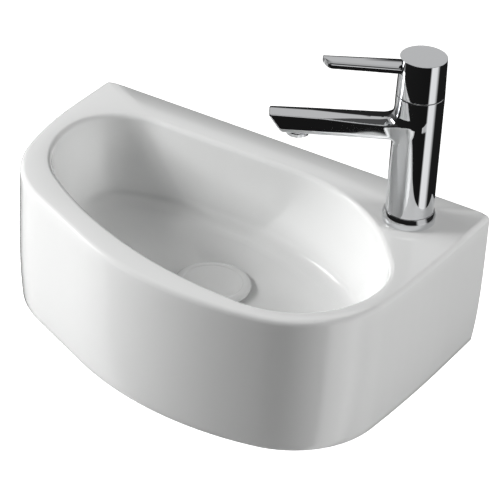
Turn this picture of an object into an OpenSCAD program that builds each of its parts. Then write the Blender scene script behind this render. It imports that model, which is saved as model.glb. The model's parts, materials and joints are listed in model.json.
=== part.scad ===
// Wall-hung cloakroom washbasin with a single-lever mixer tap and a push-button waste.
// Lengths are in millimetres and angles in degrees.
// The origin is midway between the two wall bolts, on the wall face.
// X runs along the wall, Y points into the wall and Z points up.

/* [Basin outline] */
// Width along the wall
basin_w = 421; // [400:1:500]
// Depth from the wall to the front
basin_d = 280; // [265:5:340]
// Height from the bottom edge to the deck
basin_h = 137; // [130:1:170]
// Radius of the long sweep of the left side
left_sweep_r = 381; // [300:1:420]
// Radius of the front-left corner
left_corner_r = 110; // [95:1:125]
// Radius of the front
front_r = 301; // [285:1:380]
// Radius of the front-right corner
right_corner_r = 98; // [85:1:115]
// Radius of the gentle sweep of the right side
right_sweep_r = 1460; // [1200:20:1800]
// Radius of the upright corners at the wall
wall_corner_r = 3.5; // [2:0.5:10]
// Direction that the outline faces where the long sweep ends
sweep_end = 193.2; // [190:0.2:200]
// Direction that the straight front-left shoulder faces
shoulder_facing = 245; // [240:1:248]
// Direction that the outline faces where the front arc ends
front_end = 284.5; // [276:0.5:290]
// Direction that the outline faces where the right side's sweep starts
right_sweep_start = 355.2; // [352:0.2:357]
// Rounding of the rim's outer edge
rim_edge_r = 5; // [2:0.5:7]
// Rounding of the rim's edge at the wall
back_edge_r = 1; // [0.5:0.5:4]
// How far the outer wall tucks in at its bottom edge
wall_tuck = 4.2; // [1:0.2:8]

/* [Bowl] */
// Rim width on the left, to the bowl's upright wall
rim_left = 24.8; // [23:0.2:32]
// Rim width at the front, to the bowl's upright wall
rim_front = 23.4; // [22.8:0.2:32]
// Rim width on the right, to the bowl's upright wall
rim_right = 22.4; // [22:0.2:32]
// Depth of the shelf at the wall, to the bowl's upright wall
shelf_d = 39.6; // [38:0.2:50]
// Radius of the bowl's corner at the back left
bowl_back_corner_r = 58.5; // [48:0.5:72]
// Radius of the bowl's left side
bowl_left_r = 99.5; // [92:0.5:108]
// Radius of the bowl's front
bowl_front_r = 420; // [400:2:450]
// Radius of the bowl's front-right corner
bowl_right_r = 88.5; // [78:0.5:98]
// Radius of the bowl's right side
bowl_side_r = 72.5; // [62:0.5:82]
// Radius of the bowl's edge beside the tap
bowl_tap_r = 172.5; // [150:0.5:190]
// Direction that the bowl's edge beside the tap faces
tap_edge_facing = 39.6; // [36:0.2:44]
// Rounding of the bowl's top edge
bowl_edge_r = 5; // [2:0.5:7]
// Lean of the bowl's side walls, top to floor
side_lean = 18.4; // [13:0.2:23]
// Lean of the bowl's back wall, top to floor
back_lean = 2.9; // [2:0.1:8]
// Height of the floor's outer edge above the bottom edge
floor_edge_h = 57; // [52:1:65]
// Height of the floor at the waste above the bottom edge
floor_h = 42; // [36:1:48]

/* [Basin walls] */
// Thickness of the outer walls
skirt_t = 9; // [7:0.5:10]
// Thickness of the back wall
back_wall_t = 12; // [9:0.5:15]
// Thickness of the bowl's walls
bowl_t = 8; // [6:0.5:9]
// Thickness of the bowl's floor at the waste
floor_t = 12; // [10:0.5:14]
// Thickness of the deck under the tap
deck_t = 12; // [9:0.5:14]
// Solid depth of the narrow rim
rim_depth = 40; // [36:1:50]

/* [Wall bolts] */
// Distance between the two wall bolt holes
bolt_spacing = 200; // [160:5:220]
// Diameter of the wall bolt holes
bolt_hole_d = 12; // [9:0.5:14]
// Height of the wall bolts above the bottom edge
bolt_h = 95; // [70:1:100]

/* [Tap] */
// Tap axis to the right side of the basin
tap_from_side = 58.5; // [52:0.5:64]
// Tap axis to the wall
tap_from_wall = 50; // [46:1:54]
// Direction of the spout, seen from above
spout_azimuth = 210; // [200:1:220]
// Diameter of the hole in the deck
tap_hole_d = 35; // [33:0.5:36]
// Radius of the trim ring
trim_r = 24.5; // [24:0.1:25.5]
// Height of the trim ring's upright side
trim_side_h = 6.5; // [4:0.5:8]
// Height of the trim ring
trim_h = 11; // [9:0.5:14]
// Radius of the column at its foot
column_low_r = 22.1; // [21.5:0.1:22.8]
// Radius of the column at its top
column_top_r = 21.9; // [21.3:0.1:22.2]
// Height of the column's top above the deck
column_h = 128.2; // [124:0.2:140]
// Height of the water inlets' threads
inlet_depth = 12; // [8:1:16]
// Diameter of the water inlets
inlet_d = 10; // [8:0.5:10]

/* [Spout] */
// Reach of the spout's top edge from the tap axis
spout_reach = 133; // [115:1:150]
// How much shorter the spout is below
nose_slant = 13.5; // [6:0.5:16]
// Height of the spout's top above the deck
spout_top_h = 102; // [100:1:104]
// Thickness of the spout
spout_t = 17.5; // [15:0.5:20]
// Width of the spout's top at the column
spout_root_w = 24; // [20:0.5:25]
// Width of the spout's top at its nose
spout_nose_w = 16; // [14:0.5:18]
// Width of the spout's underside
spout_low_w = 24; // [22:0.5:26]
// Rounding of the spout's upper edges
spout_edge_r = 1.5; // [1:0.5:3]
// Rounding of the spout's lower edges
spout_low_edge_r = 5; // [2:0.5:6]
// Rounding between the spout and the column
spout_fillet = 8; // [4:0.5:8]
// Diameter of the water way in the spout
water_way_d = 9; // [7:0.5:10]
// Aerator's centre to the tap axis
aerator_reach = 105.5; // [95:0.5:107]
// Diameter of the aerator's ring
aerator_d = 20.5; // [19:0.5:21]
// How far the aerator stands below the spout
aerator_drop = 3; // [2:0.5:8]

/* [Handle] */
// Radius of the handle cap at its foot
cap_r = 21.85; // [21.6:0.05:22.2]
// Radius of the handle cap at its top
cap_top_r = 21.05; // [20.8:0.05:21.5]
// Height of the cap's top above the deck
cap_top_h = 165; // [165:1:172]
// Gap between the column and the cap
cap_gap = 0.6; // [0.4:0.1:1.5]
// Height of the lever's top above the deck
lever_top_h = 156.5; // [155:0.5:156.5]
// Thickness of the lever
lever_t = 5; // [4:0.5:5.5]
// Length of the lever's longer edge from the tap axis
lever_reach = 88; // [70:1:110]
// How much shorter the lever's other edge is
lever_slant = 5; // [0:0.5:10]
// Width of the lever at its tip
lever_tip_w = 16; // [12:0.5:18]
// Width of the lever at the cap
lever_root_w = 20; // [16:0.5:20.5]
// Clearance of the lever in the cap's slot, each side
slot_gap = 0.5; // [0.4:0.1:1]
// Height of the lever's pivot above the deck
pivot_h = 133; // [132:0.5:134]
// How far the lever lifts
lift_max = 18; // [10:1:18]

/* [Waste] */
// Waste axis to the wall
waste_from_wall = 127; // [120:1:145]
// Waste axis to the middle of the basin
waste_offset = -4; // [-12:1:8]
// Diameter of the hole in the bowl's floor
waste_hole_d = 45; // [44:0.5:47]
// Diameter of the ceramic cover
cover_d = 72; // [68:0.5:74]
// Thickness of the ceramic cover
cover_t = 5.5; // [5:0.5:8]
// Gap between the floor and the cover when it is down
cover_gap = 1.5; // [1.3:0.1:3]
// Diameter of the waste's flange
flange_d = 63; // [60:0.5:64]
// Outer diameter of the waste's tail thread
tail_d = 41.9; // [40:0.1:42]
// Length of the tail below the bowl's floor
tail_l = 86; // [78:1:110]
// Outer diameter of the tail's plain lower end, where the trap slips on
tail_end_d = 40; // [39:0.1:41]
// How far the cover rises when it clicks open
click_rise = 8; // [5:0.5:9]
// How far the cover is pressed down to release it
click_press = 1; // [0.5:0.1:1]

/* [Hidden] */
$fn = 72;

// Overshoot of a cut past the face that it opens
cut = 1;
// Heights of the main levels in the part's frame
base_z = -bolt_h;
deck_z = base_z + basin_h;
floor_z = base_z + floor_h;
// Places of the tap and the waste
tap_x = basin_w / 2 - tap_from_side;
tap_y = -tap_from_wall;
waste_x = waste_offset;
waste_y = -waste_from_wall;
waste_at = [waste_x, waste_y];

// Straight lines that a convex outline touches, as [direction faced, distance from the waste].
// Together they bound the outline, and moving each inwards gives the next smaller outline.
facing_step = 3;
function facing(a) = [cos(a), sin(a)];
function along(a) = [-sin(a), cos(a)];
function arc_lines(centre, r, a0, a1) =
    let (n = ceil((a1 - a0) / facing_step))
    [for (i = [0:n]) let (a = a0 + (a1 - a0) * i / n) [a, (centre - waste_at) * facing(a) + r]];

// Outer outline: each arc's centre follows from the one before, and the straight left side
// and the shoulder take up what the depth and the width leave.
sweep_c0 = [left_sweep_r - basin_w / 2, 0];
left_c0 = sweep_c0 + (left_sweep_r - left_corner_r) * facing(sweep_end);
front_c0 = left_c0 + (left_corner_r - front_r) * facing(shoulder_facing);
right_c0 = front_c0 + (front_r - right_corner_r) * facing(front_end);
right_side_c0 = right_c0 + (right_corner_r - right_sweep_r) * facing(right_sweep_start);
shoulder_l = (basin_w / 2 - right_sweep_r - right_side_c0.x) / along(shoulder_facing).x;
left_side_l = basin_d - front_r + front_c0.y + shoulder_l * along(shoulder_facing).y;
left_shift = [0, -left_side_l];
front_shift = left_shift + shoulder_l * along(shoulder_facing);
outer_lines = concat(
    arc_lines([wall_corner_r - basin_w / 2, -wall_corner_r], wall_corner_r, 90, 180),
    arc_lines(sweep_c0 + left_shift, left_sweep_r, 180, sweep_end),
    arc_lines(left_c0 + left_shift, left_corner_r, sweep_end, shoulder_facing),
    arc_lines(front_c0 + front_shift, front_r, shoulder_facing, front_end),
    arc_lines(right_c0 + front_shift, right_corner_r, front_end, right_sweep_start),
    arc_lines(right_side_c0 + front_shift, right_sweep_r, right_sweep_start, 360),
    arc_lines([basin_w / 2 - wall_corner_r, -wall_corner_r], wall_corner_r, 0, 90));

// Bowl outline at the rim, made the same way between the four rim widths
bowl_turn = 235;
bowl_front_end = 270.5;
back_left_c = [rim_left + bowl_back_corner_r - basin_w / 2, -shelf_d - bowl_back_corner_r];
bowl_left_c = back_left_c + (bowl_back_corner_r - bowl_left_r) * facing(180);
bowl_front_c0 = bowl_left_c + (bowl_left_r - bowl_front_r) * facing(bowl_turn);
bowl_front_y = rim_front + bowl_front_r - basin_d;
bowl_front_c = bowl_front_c0
    + (bowl_front_y - bowl_front_c0.y) / along(bowl_turn).y * along(bowl_turn);
bowl_right_c0 = bowl_front_c + (bowl_front_r - bowl_right_r) * facing(bowl_front_end);
bowl_right_c = [basin_w / 2 - rim_right - bowl_right_r, bowl_right_c0.y];
bowl_side_c = bowl_right_c + (bowl_right_r - bowl_side_r) * facing(0);
bowl_tap_c0 = bowl_side_c + (bowl_side_r - bowl_tap_r) * facing(tap_edge_facing);
bowl_tap_y = -shelf_d - bowl_tap_r;
bowl_tap_c = bowl_tap_c0
    + (bowl_tap_y - bowl_tap_c0.y) / along(tap_edge_facing).y * along(tap_edge_facing);
bowl_lines = concat(
    arc_lines(back_left_c, bowl_back_corner_r, 90, 180),
    arc_lines(bowl_left_c, bowl_left_r, 180, bowl_turn),
    arc_lines(bowl_front_c, bowl_front_r, bowl_turn, bowl_front_end),
    arc_lines(bowl_right_c, bowl_right_r, bowl_front_end, 360),
    arc_lines(bowl_side_c, bowl_side_r, 0, tap_edge_facing),
    arc_lines(bowl_tap_c, bowl_tap_r, tap_edge_facing, 90));

// Inset of a wall that faces direction a: the back wall has its own
back_sharpness = 50;
function inset_at(a, side, back) = side + (back - side) * pow(max(0, sin(a)), back_sharpness);

// Distance from the waste's axis to an outline, in direction t
function reach(lines, t, side, back) =
    min([for (l = lines) if (cos(t - l[0]) > 0.02) (l[1] - inset_at(l[0], side, back)) / cos(t - l[0])]);

// Directions of the ring points: evenly spread, with three at each corner by the wall
front_points = 92;
back_points = 34;
corner_turn = 1.1;
right_corner_t = atan2(-waste_y, basin_w / 2 - waste_x);
left_corner_t = atan2(-waste_y, -basin_w / 2 - waste_x);
function spread(a0, a1, n) = [for (i = [0:n - 1]) a0 + (a1 - a0) * i / n];
directions = concat(
    spread(right_corner_t - corner_turn, right_corner_t + corner_turn, 2),
    spread(right_corner_t + corner_turn, left_corner_t - corner_turn, back_points),
    spread(left_corner_t - corner_turn, left_corner_t + corner_turn, 2),
    spread(left_corner_t + corner_turn, right_corner_t - corner_turn + 360, front_points));

// A ring holds one point in each direction, at a distance and a height from the bottom edge
function ring_point(t, r, h) = [waste_x + r * cos(t), waste_y + r * sin(t), base_z + h];
function round_ring(r, h) = [for (t = directions) ring_point(t, r, h)];
function outer_ring(side, back, h) =
    [for (t = directions) ring_point(t, reach(outer_lines, t, side, back), h)];
function bowl_ring(side, back, h) =
    [for (t = directions) ring_point(t, reach(bowl_lines, t, side, back), h)];

// Bowl walls lean in more and more towards the floor
lean_power = 1.6;
wall_top_h = basin_h - bowl_edge_r;
function wall_share(h) = pow((wall_top_h - h) / (wall_top_h - floor_edge_h), lean_power);
function bowl_wall_ring(h, out) =
    bowl_ring(side_lean * wall_share(h) - out, back_lean * wall_share(h) - out, h);

// Bowl floor: a fillet at the wall, then a fall to the flat seat round the waste
floor_fillet = 11;
seat_r = flange_d / 2 + 3;
function floor_ring(share, side, back, h0, r0, h1) = [for (t = directions)
    ring_point(t, r0 + (reach(bowl_lines, t, side, back) - r0) * share, h0 + (h1 - h0) * pow(share, 1.3))];

// Outer wall: upright above, tucked in towards its bottom edge
tuck_power = 4;
function tuck(h) = wall_tuck * pow(1 - h / basin_h, tuck_power);
bottom_edge_r = 1.5;

// Ceiling of the hollow: close under the wide deck, deep where the rim is narrow
rim_narrow_w = 26;
rim_wide_w = 38;
function rim_w(t) = reach(outer_lines, t, 0, 0) - reach(bowl_lines, t, 0, 0);
function ceiling_h(t) = let (narrow = min(1, max(0, (rim_wide_w - rim_w(t)) / (rim_wide_w - rim_narrow_w))))
    basin_h - deck_t - (rim_depth - deck_t) * narrow;
ceiling_fillet = 3;
function ceiling_ring(outer, out, drop) = [for (t = directions) let (h = ceiling_h(t) - drop)
    ring_point(t, outer ? reach(outer_lines, t, skirt_t + out, back_wall_t + out)
        : reach(bowl_lines, t, side_lean * wall_share(min(h, wall_top_h)) - bowl_t - out,
            back_lean * wall_share(min(h, wall_top_h)) - bowl_t - out), h)];

// All rings in order: bowl, rim, outer wall, bottom edge, hollow and the bowl's underside
core_r = waste_hole_d / 2 - 4;
under_seat_r = seat_r + 3;
edge_turns = [30, 60, 90];
basin_rings = concat(
    [round_ring(core_r, floor_h), round_ring(seat_r, floor_h)],
    [for (share = [0.2, 0.4, 0.6, 0.8]) floor_ring(share, side_lean + floor_fillet, back_lean + floor_fillet,
        floor_h, seat_r, floor_edge_h)],
    [bowl_ring(side_lean + floor_fillet, back_lean + floor_fillet, floor_edge_h),
        bowl_ring(side_lean + floor_fillet / 2, back_lean + floor_fillet / 2, floor_edge_h + floor_fillet / 6)],
    [for (share = [0.07, 0.17, 0.35, 0.6, 0.8, 1])
        bowl_wall_ring(floor_edge_h + (wall_top_h - floor_edge_h) * share, 0)],
    [for (a = edge_turns) bowl_ring(-bowl_edge_r * (1 - cos(a)), -bowl_edge_r * (1 - cos(a)),
        wall_top_h + bowl_edge_r * sin(a))],
    [for (a = [0, 30, 60, 90]) outer_ring(rim_edge_r * (1 - sin(a)), back_edge_r * (1 - sin(a)),
        basin_h - rim_edge_r * (1 - cos(a)))],
    [for (share = [0.7, 0.45, 0.25, 0.12]) outer_ring(tuck(basin_h * share), 0, basin_h * share)],
    [outer_ring(tuck(bottom_edge_r), 0, bottom_edge_r),
        outer_ring(wall_tuck + bottom_edge_r, bottom_edge_r, 0),
        outer_ring(wall_tuck + skirt_t, back_wall_t, 0),
        outer_ring(skirt_t + wall_tuck / 3, back_wall_t, basin_h / 4)],
    [ceiling_ring(true, 0, ceiling_fillet), ceiling_ring(true, ceiling_fillet, 0),
        ceiling_ring(false, 0, 0)],
    [for (share = [0.35, 0.15]) bowl_wall_ring(floor_edge_h + (wall_top_h - floor_edge_h) * share, bowl_t)],
    [bowl_ring(side_lean - bowl_t / 2, back_lean - bowl_t / 2, floor_edge_h - bowl_t / 2)],
    [for (share = [0.8, 0.4]) floor_ring(share, side_lean + floor_fillet, back_lean + floor_fillet,
        floor_h - floor_t, under_seat_r, floor_edge_h - floor_t)],
    [round_ring(under_seat_r, floor_h - floor_t), round_ring(core_r, floor_h - floor_t)]);

// Skin over closed rings, of which the last also joins the first
function ring_faces(n, rings) = [for (j = [0:rings - 1], i = [0:n - 1])
    let (a = j * n + i, b = j * n + (i + 1) % n, c = (j + 1) % rings * n + i,
        d = (j + 1) % rings * n + (i + 1) % n)
    each [[a, c, b], [b, c, d]]];

module rings_solid(rings) {
    polyhedron(points = [for (ring = rings) each ring],
        faces = ring_faces(len(rings[0]), len(rings)), convexity = 10);
}

module tube(r_out, r_in, h) {
    difference() {
        cylinder(r = r_out, h = h);
        translate([0, 0, -cut]) cylinder(r = r_in, h = h + 2 * cut);
    }
}

module at_waste() {
    translate([waste_x, waste_y, floor_z]) children();
}

// Local frame of the tap: Z from the deck and X along the spout
module at_tap() {
    translate([tap_x, tap_y, deck_z]) rotate([0, 0, spout_azimuth]) children();
}

// Seat of the waste's flange in the bowl's floor
flange_t = 2.2;
gasket_t = 1.3;
recess_h = flange_t + gasket_t;
recess_gap = 1.5;

module basin_body() {
    color("white") difference() {
        rings_solid(basin_rings);
        at_waste() translate([0, 0, -floor_t - cut]) cylinder(d = waste_hole_d, h = floor_t + 2 * cut);
        at_waste() translate([0, 0, -recess_h]) cylinder(d = flange_d + 2 * recess_gap, h = recess_h + cut);
        translate([tap_x, tap_y, deck_z - deck_t - cut]) cylinder(d = tap_hole_d, h = deck_t + 2 * cut);
        for (side = [-1, 1]) {
            translate([side * bolt_spacing / 2, cut, 0]) rotate([90, 0, 0])
                cylinder(d = bolt_hole_d, h = back_wall_t + 2 * cut);
        }
    }
}

// Levels of the tap above the deck
foot_h = 3;
spout_low_h = spout_top_h - spout_t;
seat_h = spout_top_h + 4;
// Radii of the cartridge and what holds it
cartridge_r = 17.4;
nut_r = 18.2;
bore_gap = 0.1;
// Places of the ports in the tap's local frame
inlet_x = -6;
inlet_y = 7.5;
outlet_x = 7;
port_r = 3.5;
stud_x = 8;
stud_r = 4;
stud_depth = 12;
thread_gap = 0.05;
// Cartridge stack above its seat
base_plate_t = 1.5;
disc_t = 3;
driver_t = 4.5;
flange_gap = 0.3;
turret_flange_t = 3.4;
shoulder_h = seat_h + 18;
fixed_disc_h = seat_h + base_plate_t;
moving_disc_h = fixed_disc_h + disc_t;
driver_h = moving_disc_h + disc_t;
turret_h = driver_h + driver_t + flange_gap;
cavity_top_h = turret_h + turret_flange_t + flange_gap;
cavity_r = 15.5;
neck_r = 9.5;
housing_neck_r = 14;
nut_thread_h = 3.8;
nut_h = 7.5;

module inlets(r, h0, h1) {
    for (side = [-1, 1]) {
        translate([inlet_x, side * inlet_y, h0]) cylinder(r = r, h = h1 - h0);
    }
}

// Cross-section of the spout at a distance from the axis, grown towards the column
module spout_slice(x, grow) {
    slice_t = 0.2;
    top_r = spout_edge_r + 0.6 * grow;
    low_r = spout_low_edge_r + 0.6 * grow;
    wide = 0.5 * grow;
    for (side = [-1, 1]) {
        translate([x, side * (spout_root_w / 2 - top_r + wide), spout_top_h - top_r + grow])
            rotate([0, 90, 0]) cylinder(r = top_r, h = slice_t, $fn = 32);
        translate([x, side * (spout_low_w / 2 - low_r + wide), spout_low_h + low_r - grow])
            rotate([0, 90, 0]) cylinder(r = low_r, h = slice_t, $fn = 32);
    }
}

module spout_nose() {
    nose_low_r = 3;
    for (side = [-1, 1]) {
        translate([spout_reach - spout_edge_r, side * (spout_nose_w / 2 - spout_edge_r),
            spout_top_h - spout_edge_r]) sphere(r = spout_edge_r, $fn = 24);
        translate([spout_reach - nose_slant - nose_low_r, side * (spout_low_w / 2 - 1.5 - nose_low_r),
            spout_low_h + nose_low_r]) sphere(r = nose_low_r, $fn = 24);
    }
}

module spout() {
    fillet_steps = 5;
    fillet_x = column_top_r + spout_fillet;
    hull() {
        spout_slice(0, 0);
        spout_nose();
    }
    for (i = [1:fillet_steps]) {
        a0 = 90 * (i - 1) / fillet_steps;
        a1 = 90 * i / fillet_steps;
        hull() {
            spout_slice(fillet_x - spout_fillet * sin(a0), spout_fillet * (1 - cos(a0)));
            spout_slice(fillet_x - spout_fillet * sin(a1), spout_fillet * (1 - cos(a1)));
        }
    }
}

// Aerator levels above the deck
aerator_low_h = spout_low_h - aerator_drop;
aerator_thread_l = 6.5;
aerator_thread_r = aerator_d / 2 - 1;
aerator_washer_t = 1.6;
aerator_bore_top_h = spout_low_h + aerator_thread_l + aerator_washer_t;
way_h = spout_top_h - spout_edge_r - 1.5 - water_way_d / 2;

module tap_body() {
    color("silver") at_tap() difference() {
        union() {
            translate([0, 0, foot_h]) cylinder(r1 = column_low_r, r2 = column_top_r, h = column_h - foot_h);
            spout();
        }
        translate([0, 0, seat_h]) cylinder(r = cartridge_r + bore_gap, h = column_h);
        translate([0, 0, shoulder_h - cut]) cylinder(r = nut_r + thread_gap, h = column_h);
        inlets(inlet_d / 2, foot_h - cut, foot_h + inlet_depth);
        inlets(port_r, foot_h, seat_h + cut);
        translate([stud_x, 0, foot_h - cut]) cylinder(r = stud_r + thread_gap, h = stud_depth + cut);
        translate([outlet_x, 0, way_h]) cylinder(r = port_r, h = seat_h + cut - way_h);
        translate([outlet_x - port_r, 0, way_h]) rotate([0, 90, 0])
            cylinder(d = water_way_d, h = aerator_reach - outlet_x + port_r);
        translate([aerator_reach, 0, aerator_low_h])
            cylinder(r = aerator_thread_r + thread_gap, h = aerator_bore_top_h - aerator_low_h);
    }
}

// Trim ring: the column stands on its inner flange, and its seal lies in a groove below
trim_bore_r = 16.2;
trim_seal_t = 1.2;
seal_out_r = 22.6;
seal_in_r = 18.6;
groove_gap = 0.2;
column_gap = 0.15;

module trim_ring() {
    color("silver") at_tap() difference() {
        rotate_extrude() polygon([[trim_bore_r, 0], [trim_r, 0], [trim_r, trim_side_h],
            [column_low_r + column_gap + 0.4, trim_h], [column_low_r + column_gap, trim_h],
            [column_low_r + column_gap, foot_h], [trim_bore_r, foot_h]]);
        translate([0, 0, -cut]) tube(seal_out_r + groove_gap, seal_in_r - groove_gap, trim_seal_t + cut);
    }
}

module trim_seal() {
    color("dimgray") at_tap() tube(seal_out_r, seal_in_r, trim_seal_t);
}

// Handle cap levels above the deck, and the slot in which the lever lifts
cap_wall = 2.5;
cap_low_h = column_h + cap_gap;
disc_cover_t = 0.8;
disc_cover_r = cap_top_r - 2;
insert_h = pivot_h + 0.8;
insert_t = 3.4;
ledge_h = insert_h + insert_t;
ledge_r = cap_r - cap_wall - 0.95;
slot_half = lever_root_w / 2 + slot_gap;
slot_low_h = lever_top_h - lever_t - slot_gap - 0.2;
// The slot starts inside the cap's bore, and the raised lever stays under the disc
slot_x = sqrt(ledge_r * ledge_r - slot_half * slot_half) - 0.5;
cap_edge = 0.6;

module handle_cap() {
    color("silver") at_tap() difference() {
        rotate_extrude() polygon([[cap_r - cap_wall, cap_low_h], [cap_r, cap_low_h],
            [cap_top_r, cap_top_h - cap_edge], [cap_top_r - cap_edge, cap_top_h], [disc_cover_r, cap_top_h],
            [disc_cover_r, cap_top_h - disc_cover_t], [ledge_r, cap_top_h - disc_cover_t],
            [ledge_r, ledge_h], [cap_r - cap_wall, ledge_h]]);
        translate([slot_x, -slot_half, slot_low_h]) cube([cap_r, 2 * slot_half, cap_top_h]);
    }
}

module cap_disc() {
    color("silver") at_tap() translate([0, 0, cap_top_h - disc_cover_t])
        cylinder(r = disc_cover_r - thread_gap, h = disc_cover_t);
}

module cap_insert() {
    color("gainsboro") at_tap() translate([0, 0, insert_h]) tube(cap_r - cap_wall - thread_gap,
        neck_r + thread_gap, insert_t);
}

// Stem, and the hub of the lever that fits over it
stem_t = 5;
stem_w = 7;
stem_low_h = driver_h + 0.7;
hub_h = 9.5;
hub_r = 6.5;
lever_low_h = lever_top_h - lever_t;
stem_top_h = lever_low_h - 0.5;
pin_r = 1.5;
pin_gap = 0.05;
screw_r = 2;
screw_head_r = 3.5;
screw_head_t = 2.2;
screw_low_h = pivot_h + 10;
stem_gap = 0.05;

module lever_outline() {
    root = lever_root_w / 2;
    tip = lever_tip_w / 2;
    polygon([[-hub_r, -hub_r], [hub_r, -root], [cap_r, -root], [lever_reach, -tip],
        [lever_reach - lever_slant / 2, tip / 3], [lever_reach - lever_slant, tip],
        [cap_r, root], [hub_r, root], [-hub_r, hub_r]]);
}

module lever() {
    color("silver") at_tap() difference() {
        union() {
            translate([0, 0, lever_low_h]) linear_extrude(lever_t) lever_outline();
            translate([-hub_r, -hub_r, lever_low_h - hub_h]) cube([2 * hub_r, 2 * hub_r, hub_h + cut]);
        }
        translate([-stem_t / 2 - stem_gap, -stem_w / 2 - stem_gap, lever_low_h - hub_h - cut])
            cube([stem_t + 2 * stem_gap, stem_w + 2 * stem_gap, hub_h + cut]);
        translate([0, 0, lever_low_h - cut]) cylinder(r = screw_r + 0.2, h = lever_t + 2 * cut);
        translate([0, 0, lever_top_h - screw_head_t - 0.2]) cylinder(r = screw_head_r + 0.2, h = lever_t);
    }
}

module lever_stem() {
    color("gray") at_tap() difference() {
        translate([-stem_t / 2, -stem_w / 2, stem_low_h]) cube([stem_t, stem_w, stem_top_h - stem_low_h]);
        translate([0, stem_w, pivot_h]) rotate([90, 0, 0]) cylinder(r = pin_r + pin_gap, h = 2 * stem_w);
        translate([0, 0, screw_low_h]) cylinder(r = screw_r + thread_gap, h = stem_top_h);
    }
}

module lever_screw() {
    socket_r = 1.5;
    socket_depth = 1.4;
    color("gray") at_tap() difference() {
        union() {
            translate([0, 0, screw_low_h + 0.5])
                cylinder(r = screw_r, h = lever_top_h - screw_head_t - screw_low_h - 0.5);
            translate([0, 0, lever_top_h - screw_head_t - 0.2]) cylinder(r = screw_head_r, h = screw_head_t);
        }
        translate([0, 0, lever_top_h - 0.2 - socket_depth]) cylinder(r = socket_r, h = lever_t, $fn = 6);
    }
}

module stem_pin() {
    pin_l = 2 * neck_r - 2;
    color("gray") at_tap() translate([0, pin_l / 2, pivot_h]) rotate([90, 0, 0]) cylinder(r = pin_r, h = pin_l);
}

// Turret: turns in the cartridge with the cap, and the stem tips in its slot
neck_top_h = pivot_h + 6;
slot_side_gap = 0.25;

module turret_slot(back, front, h0, h1) {
    half = stem_w / 2 + slot_side_gap;
    translate([-back, -half, h0]) cube([back + front, 2 * half, h1 - h0]);
}

module cartridge_turret() {
    swing = tan(lift_max);
    below = pivot_h - turret_h;
    flange_front = (below + 1) * swing + stem_t / 2 + 1;
    neck_front = (below - turret_flange_t + 1) * swing + stem_t / 2 + 0.6;
    neck_back = (neck_top_h - pivot_h) * swing + stem_t / 2 + 0.7;
    color("white") at_tap() difference() {
        union() {
            translate([0, 0, turret_h]) cylinder(r = cavity_r - 0.3, h = turret_flange_t);
            translate([0, 0, turret_h]) cylinder(r = neck_r, h = neck_top_h - turret_h);
        }
        turret_slot(stem_t / 2 + 0.5, flange_front, turret_h - cut, turret_h + turret_flange_t);
        turret_slot(neck_back, neck_front, turret_h + turret_flange_t - 0.1, neck_top_h + cut);
        translate([0, neck_r + cut, pivot_h]) rotate([90, 0, 0]) cylinder(r = pin_r, h = 2 * (neck_r + cut));
    }
}

module cartridge_body() {
    neck_gap = 0.08;
    color("white") at_tap() difference() {
        union() {
            translate([0, 0, seat_h]) cylinder(r = cartridge_r, h = shoulder_h - seat_h);
            translate([0, 0, shoulder_h - cut]) cylinder(r = housing_neck_r, h = nut_h - 1 + cut);
        }
        translate([0, 0, fixed_disc_h]) cylinder(r = cavity_r, h = cavity_top_h - fixed_disc_h);
        translate([0, 0, seat_h]) cylinder(r = neck_r + neck_gap, h = column_h);
        ports(port_seal_r, seat_h - cut, fixed_disc_h + cut);
    }
}

// The three ports through the cartridge's base and its fixed disc
port_seal_r = 5;
module ports(r, h0, h1) {
    inlets(r, h0, h1);
    translate([outlet_x, 0, h0]) cylinder(r = r, h = h1 - h0);
}

module cartridge_nut() {
    hex_r = 16.4;
    color("goldenrod") at_tap() translate([0, 0, shoulder_h]) difference() {
        union() {
            cylinder(r = nut_r, h = nut_thread_h);
            cylinder(r = hex_r, h = nut_h, $fn = 6);
        }
        translate([0, 0, -cut]) cylinder(r = housing_neck_r + 0.2, h = nut_h + 2 * cut);
    }
}

// The moving disc starts behind the axis and slides as far past it
disc_travel = 5.25;
disc_shift = -disc_travel / 2;
slide_r = 12;

module disc_driver() {
    socket_gap = 0.9;
    color("white") at_tap() difference() {
        translate([disc_shift, 0, driver_h]) cylinder(r = slide_r, h = driver_t);
        translate([-stem_t / 2 - socket_gap, -stem_w / 2 - slot_side_gap, driver_h + 0.4])
            cube([stem_t + 2 * socket_gap, stem_w + 2 * slot_side_gap, driver_t]);
    }
}

module moving_disc() {
    chamber_r = 7;
    color("ivory") at_tap() translate([disc_shift, 0, moving_disc_h]) difference() {
        cylinder(r = slide_r, h = disc_t);
        translate([0, 0, -cut]) cylinder(r = chamber_r, h = disc_t / 2 + cut);
    }
}

module fixed_disc() {
    color("ivory") at_tap() difference() {
        translate([0, 0, fixed_disc_h]) cylinder(r = cavity_r - 0.2, h = disc_t);
        ports(port_r, fixed_disc_h - cut, moving_disc_h + cut);
    }
}

module port_seals() {
    color("dimgray") at_tap() difference() {
        ports(port_seal_r - 0.1, seat_h, fixed_disc_h);
        ports(port_r, seat_h - cut, fixed_disc_h + cut);
    }
}

module aerator_ring() {
    throat_r = aerator_thread_r - 1.4;
    color("silver") at_tap() translate([aerator_reach, 0, aerator_low_h]) difference() {
        union() {
            cylinder(d = aerator_d, h = aerator_drop);
            cylinder(r = aerator_thread_r, h = aerator_drop + aerator_thread_l);
        }
        translate([0, 0, -cut]) cylinder(r = throat_r, h = aerator_drop + aerator_thread_l + 2 * cut);
    }
}

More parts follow.
